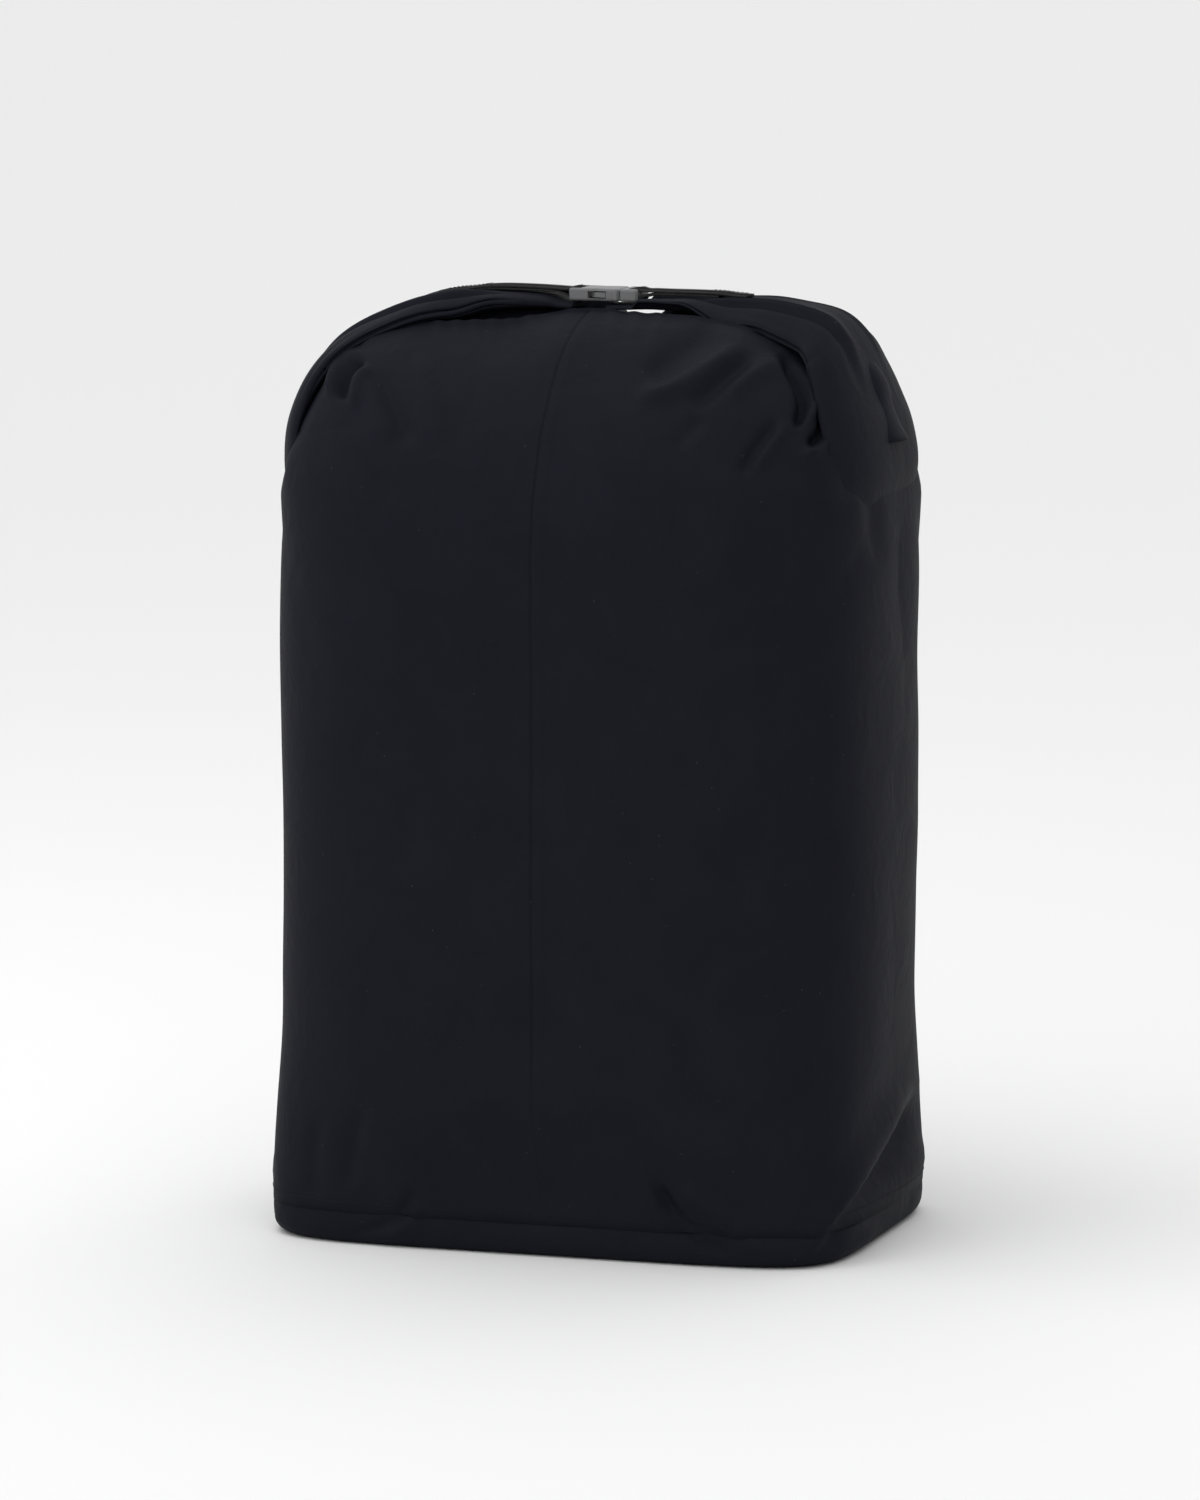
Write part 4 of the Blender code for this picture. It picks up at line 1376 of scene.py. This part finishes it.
@dataclass(frozen=True)
class Run:
    """A Geometry Nodes run of small shapes along a line."""

    shape: RunShape
    pitch: float
    length: float
    breadth: float
    height: float

    def tree(self) -> bpy.types.NodeTree:
        """Builds the node tree, with its sizes as named inputs.

        Returns:
            A tree that turns a polyline into realised shapes with a material.
        """
        tree = bpy.data.node_groups.new(f"{self.shape.value}_run", "GeometryNodeTree")
        face = tree.interface
        face.new_socket("Geometry", in_out="INPUT", socket_type="NodeSocketGeometry")
        sizes = {"Pitch": self.pitch, "Length": self.length, "Breadth": self.breadth, "Height": self.height}
        for label, value in sizes.items():
            socket = face.new_socket(label, in_out="INPUT", socket_type="NodeSocketFloat")
            socket.default_value = value
        face.new_socket("Material", in_out="INPUT", socket_type="NodeSocketMaterial")
        face.new_socket("Geometry", in_out="OUTPUT", socket_type="NodeSocketGeometry")
        add = tree.nodes.new
        link = tree.links.new
        source, sink = add("NodeGroupInput"), add("NodeGroupOutput")
        curve = add("GeometryNodeMeshToCurve")
        link(source.outputs["Geometry"], curve.inputs["Mesh"])
        points = add("GeometryNodeCurveToPoints")
        points.mode = "LENGTH"
        link(curve.outputs["Curve"], points.inputs["Curve"])
        link(source.outputs["Pitch"], points.inputs["Length"])
        turn = add("FunctionNodeAlignRotationToVector")
        turn.axis = "X"
        turn.pivot_axis = "Y" if self.shape is RunShape.RIB else "AUTO"
        link(points.outputs["Tangent"], turn.inputs["Vector"])
        bead = add("GeometryNodeMeshIcoSphere")
        bead.inputs["Radius"].default_value = 0.5
        bead.inputs["Subdivisions"].default_value = 2
        size = add("ShaderNodeCombineXYZ")
        for axis, label in zip("XYZ", ("Length", "Breadth", "Height")):
            link(source.outputs[label], size.inputs[axis])
        placed = add("GeometryNodeInstanceOnPoints")
        link(points.outputs["Points"], placed.inputs["Points"])
        link(bead.outputs["Mesh"], placed.inputs["Instance"])
        link(turn.outputs["Rotation"], placed.inputs["Rotation"])
        link(size.outputs["Vector"], placed.inputs["Scale"])
        real = add("GeometryNodeRealizeInstances")
        link(placed.outputs["Instances"], real.inputs["Geometry"])
        coat = add("GeometryNodeSetMaterial")
        link(real.outputs["Geometry"], coat.inputs["Geometry"])
        link(source.outputs["Material"], coat.inputs["Material"])
        link(coat.outputs["Geometry"], sink.inputs["Geometry"])
        return tree

    def build(
        self, name: str, lines: list[np.ndarray], material: bpy.types.Material, closed: bool = False
    ) -> bpy.types.Object:
        """Runs the shapes along lines and returns them as one plain mesh.

        Args:
            name: Name of the piece.
            lines: Polylines as rows of points.
            material: Finish of the shapes.
            closed: Whether each line joins its own start.

        Returns:
            The new object.
        """
        points: list[list[float]] = []
        edges: list[tuple[int, int]] = []
        for line in lines:
            first = len(points)
            points += line.tolist()
            edges += [(first + k, first + k + 1) for k in range(len(line) - 1)]
            if closed:
                edges.append((first + len(line) - 1, first))
        path = bpy.data.meshes.new(f"{name}_path")
        path.from_pydata(points, edges, [])
        holder = link_object(f"{name}_path", path)
        tree = self.tree()
        modifier = holder.modifiers.new("run", "NODES")
        modifier.node_group = tree
        for item in tree.interface.items_tree:
            if item.name == "Material" and item.in_out == "INPUT":
                modifier[item.identifier] = material
        seen = holder.evaluated_get(bpy.context.evaluated_depsgraph_get())
        mesh = bpy.data.meshes.new_from_object(seen)
        bpy.data.objects.remove(holder)
        mesh.shade_smooth()
        mesh.name = name
        return link_object(name, mesh)


RIBS = Run(RunShape.RIB, pitch=0.0011, length=0.0010, breadth=0.0150, height=0.0018)
SELVEDGE_BEADS = Run(RunShape.STITCH, pitch=0.0011, length=0.0009, breadth=0.0015, height=0.0016)
BOX_STITCHES = Run(RunShape.STITCH, pitch=0.0022, length=0.0018, breadth=0.0004, height=0.0004)
SEAM_STITCHES = Run(RunShape.STITCH, pitch=0.0024, length=0.0017, breadth=0.0005, height=0.00045)


# Studio


@dataclass(frozen=True)
class Softbox:
    """A soft rectangular lamp that looks at a point."""

    name: str
    place: tuple[float, float, float]
    aim: tuple[float, float, float]
    size: tuple[float, float]
    power: float

    def build(self) -> None:
        """Adds the lamp."""
        data = bpy.data.lights.new(self.name, "AREA")
        data.shape = "RECTANGLE"
        data.size, data.size_y = self.size
        data.energy = self.power
        lamp = link_object(self.name, data)
        lamp.location = self.place
        lamp.rotation_euler = (Vector(self.place) - Vector(self.aim)).to_track_quat("Z", "Y").to_euler()


SOFTBOXES: tuple[Softbox, ...] = (
    Softbox("top_softbox", (-0.8, -0.5, 2.0), (0.0, 0.0, 0.35), (1.6, 1.6), 9.5),
    Softbox("left_softbox", (-2.0, -0.3, 0.9), (0.0, 0.0, 0.25), (0.9, 1.7), 4.5),
    Softbox("right_softbox", (2.1, 0.3, 0.9), (0.0, 0.0, 0.25), (0.8, 1.7), 0.5),
)


@dataclass(frozen=True)
class Studio:
    """White floor, soft lamps and the world around them."""

    floor_half: float = 40.0
    floor_tone: float = 0.92
    world_strength: float = 1.22
    side_light: float = 0.12
    seen_tone: float = 0.78

    def build(self) -> None:
        """Adds the floor, the lamps and the world."""
        self.floor()
        for softbox in SOFTBOXES:
            softbox.build()
        self.world()
        bpy.context.scene.view_settings.view_transform = "Standard"

    def floor(self) -> None:
        """The plain floor, wide enough to fill the picture from every side."""
        half = self.floor_half
        corners = [(-half, -half, 0.0), (half, -half, 0.0), (half, half, 0.0), (-half, half, 0.0)]
        mesh = bpy.data.meshes.new("studio_floor")
        mesh.from_pydata(corners, [], [(0, 1, 2, 3)])
        floor = link_object("studio_floor", mesh)
        material = bpy.data.materials.new("floor_paper")
        material.use_nodes = True
        shader = material.node_tree.nodes["Principled BSDF"]
        shader.inputs["Base Color"].default_value = (*(self.floor_tone,) * 3, 1.0)
        shader.inputs["Roughness"].default_value = 0.9
        shader.inputs["Specular IOR Level"].default_value = 0.05
        mesh.materials.append(material)

    def world(self) -> None:
        """A soft world: darker at both sides as a light, plain white where it is seen or mirrored."""
        world = bpy.data.worlds.new("studio_world")
        world.use_nodes = True
        tree = world.node_tree
        add, link = tree.nodes.new, tree.links.new
        ground = tree.nodes["Background"]
        ground.inputs["Strength"].default_value = self.world_strength
        place = add("ShaderNodeTexCoord")
        split = add("ShaderNodeSeparateXYZ")
        link(place.outputs["Generated"], split.inputs[0])
        sideways = add("ShaderNodeMath")
        sideways.operation = "ABSOLUTE"
        link(split.outputs["X"], sideways.inputs[0])
        fall = add("ShaderNodeMapRange")
        fall.inputs["From Min"].default_value = 0.35
        fall.inputs["From Max"].default_value = 0.85
        fall.inputs["To Min"].default_value = 1.0
        fall.inputs["To Max"].default_value = self.side_light
        link(sideways.outputs[0], fall.inputs["Value"])
        rays = add("ShaderNodeLightPath")
        seen = rays.outputs["Is Camera Ray"]
        for label in ("Is Glossy Ray", "Is Transmission Ray"):
            either = add("ShaderNodeMath")
            either.operation = "ADD"
            either.use_clamp = True
            link(seen, either.inputs[0])
            link(rays.outputs[label], either.inputs[1])
            seen = either.outputs[0]
        tone = add("ShaderNodeMix")
        tone.inputs["B"].default_value = self.seen_tone
        link(seen, tone.inputs["Factor"])
        link(fall.outputs["Result"], tone.inputs["A"])
        link(tone.outputs["Result"], ground.inputs["Color"])
        bpy.context.scene.world = world


# Putting it together


class Carrier(Enum):
    """The body that carries a piece, or the two bodies that it stretches between."""

    SACK = ("sack",)
    ROLL_TOP = ("roll_top",)
    SACK_TO_ROLL_TOP = ("sack", "roll_top")
    ROLL_TOP_TO_TONGUE = ("roll_top", "tongue")


# Where each stretch starts and ends at rest
STRETCHES: dict[Carrier, tuple[tuple[float, float, float], tuple[float, float, float]]] = {
    Carrier.SACK_TO_ROLL_TOP: ((0.0, 0.0, 0.030), (0.0, 0.0, 0.350)),
    Carrier.ROLL_TOP_TO_TONGUE: ((0.062, 0.0, 0.494), (0.030, 0.0, 0.494)),
}


class DressedSack:
    """All the pieces of the sack, each on the body that carries it."""

    def __init__(self) -> None:
        """Makes the finishes."""
        self.nylon = NYLON.make()
        self.webbing = WEBBING.make()
        self.selvedge_painted_highlight = SELVEDGE_PAINTED_HIGHLIGHT.make()
        self.thread = THREAD.make()
        self.acetal = ACETAL.make()
        self.tape = TAPE.make()
        self.strip = STRIP.make()
        self.cloth = SackCloth()

    @staticmethod
    def add(
        obj: bpy.types.Object,
        finish: bpy.types.Material,
        slot: str,
        carrier: Carrier,
        node: str | None = None,
    ) -> None:
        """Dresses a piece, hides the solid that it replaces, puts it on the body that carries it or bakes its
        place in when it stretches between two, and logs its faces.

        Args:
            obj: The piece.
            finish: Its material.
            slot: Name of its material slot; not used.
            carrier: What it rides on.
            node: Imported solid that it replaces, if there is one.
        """
        dress(obj, finish)
        if node is not None:
            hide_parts(node)
        if carrier in STRETCHES:
            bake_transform(obj)
        else:
            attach(obj, *carrier.value)
        LOG.info("%s: %d faces", obj.name, len(obj.data.polygons))

    def add_cloth(self) -> None:
        """Body, base, binding tapes, roll and wings."""
        nylon, tape = (self.nylon, "sack_nylon"), (self.tape, "binding_tape")
        self.add(self.cloth.build_body(), *nylon, Carrier.SACK_TO_ROLL_TOP, "body_panel")
        self.add(self.cloth.build_base(), *nylon, Carrier.SACK, "base_panel")
        self.add(self.cloth.build_tape(), *tape, Carrier.SACK_TO_ROLL_TOP, "front_seam_binding")
        self.add(self.cloth.build_base_tape(), *tape, Carrier.SACK, "base_seam_binding")
        self.add(RolledMouth().build(), *nylon, Carrier.ROLL_TOP, "rolled_mouth")
        for side in Side:
            self.add(Wing(side).build(), *nylon, Carrier.ROLL_TOP, f"{side.label}_wing")

    def add_webbing(self) -> None:
        """The two tabs with their ribs, their selvedges and their box sewing."""
        for tab in TABS:
            name = f"{tab.side.label}_webbing"
            carrier = Carrier.ROLL_TOP if tab.side is Side.LEFT else Carrier.ROLL_TOP_TO_TONGUE
            self.add(tab.build(), self.webbing, "webbing", carrier, f"{name}_tab")
            ribs = RIBS.build(f"{name}_ribs", [tab.rib_line()], self.webbing)
            self.add(ribs, self.webbing, "webbing", carrier)
            # The edge beads wear the lighter finish, a painted highlight of the webbing's lit edge.
            edges = SELVEDGE_BEADS.build(f"{name}_selvedge", tab.selvedge_lines(), self.selvedge_painted_highlight)
            self.add(edges, self.selvedge_painted_highlight, "webbing", carrier)
            sewing = BOX_STITCHES.build(f"{name}_sewing", tab.sewing_lines(), self.thread)
            self.add(sewing, self.thread, "webbing", Carrier.ROLL_TOP)

    def add_sewing(self) -> None:
        """Stitches of the front seam and the base seam."""
        front = SEAM_STITCHES.build("front_seam_stitches", [self.cloth.seam_line()], self.thread)
        self.add(front, self.thread, "sack_nylon", Carrier.SACK_TO_ROLL_TOP)
        base = SEAM_STITCHES.build("base_seam_stitches", [self.cloth.base_line()], self.thread, closed=True)
        self.add(base, self.thread, "sack_nylon", Carrier.SACK)

    def dress_solids(self) -> None:
        """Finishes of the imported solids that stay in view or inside."""
        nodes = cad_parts
        for name in ("buckle_socket", "buckle_tongue", "front_latch_arm", "rear_latch_arm"):
            dress(nodes[name], self.acetal)
        dress(nodes["rim_stiffener"], self.strip)

    def build(self) -> None:
        """Builds every piece in order."""
        self.add_cloth()
        self.add_webbing()
        self.add_sewing()
        self.dress_solids()


def main() -> None:
    """Builds the studio and the dressed sack."""
    logging.basicConfig(level=logging.INFO, format="%(message)s")
    CAMERA.build()
    Studio().build()
    DressedSack().build()


if __name__ == "__main__":
    main()
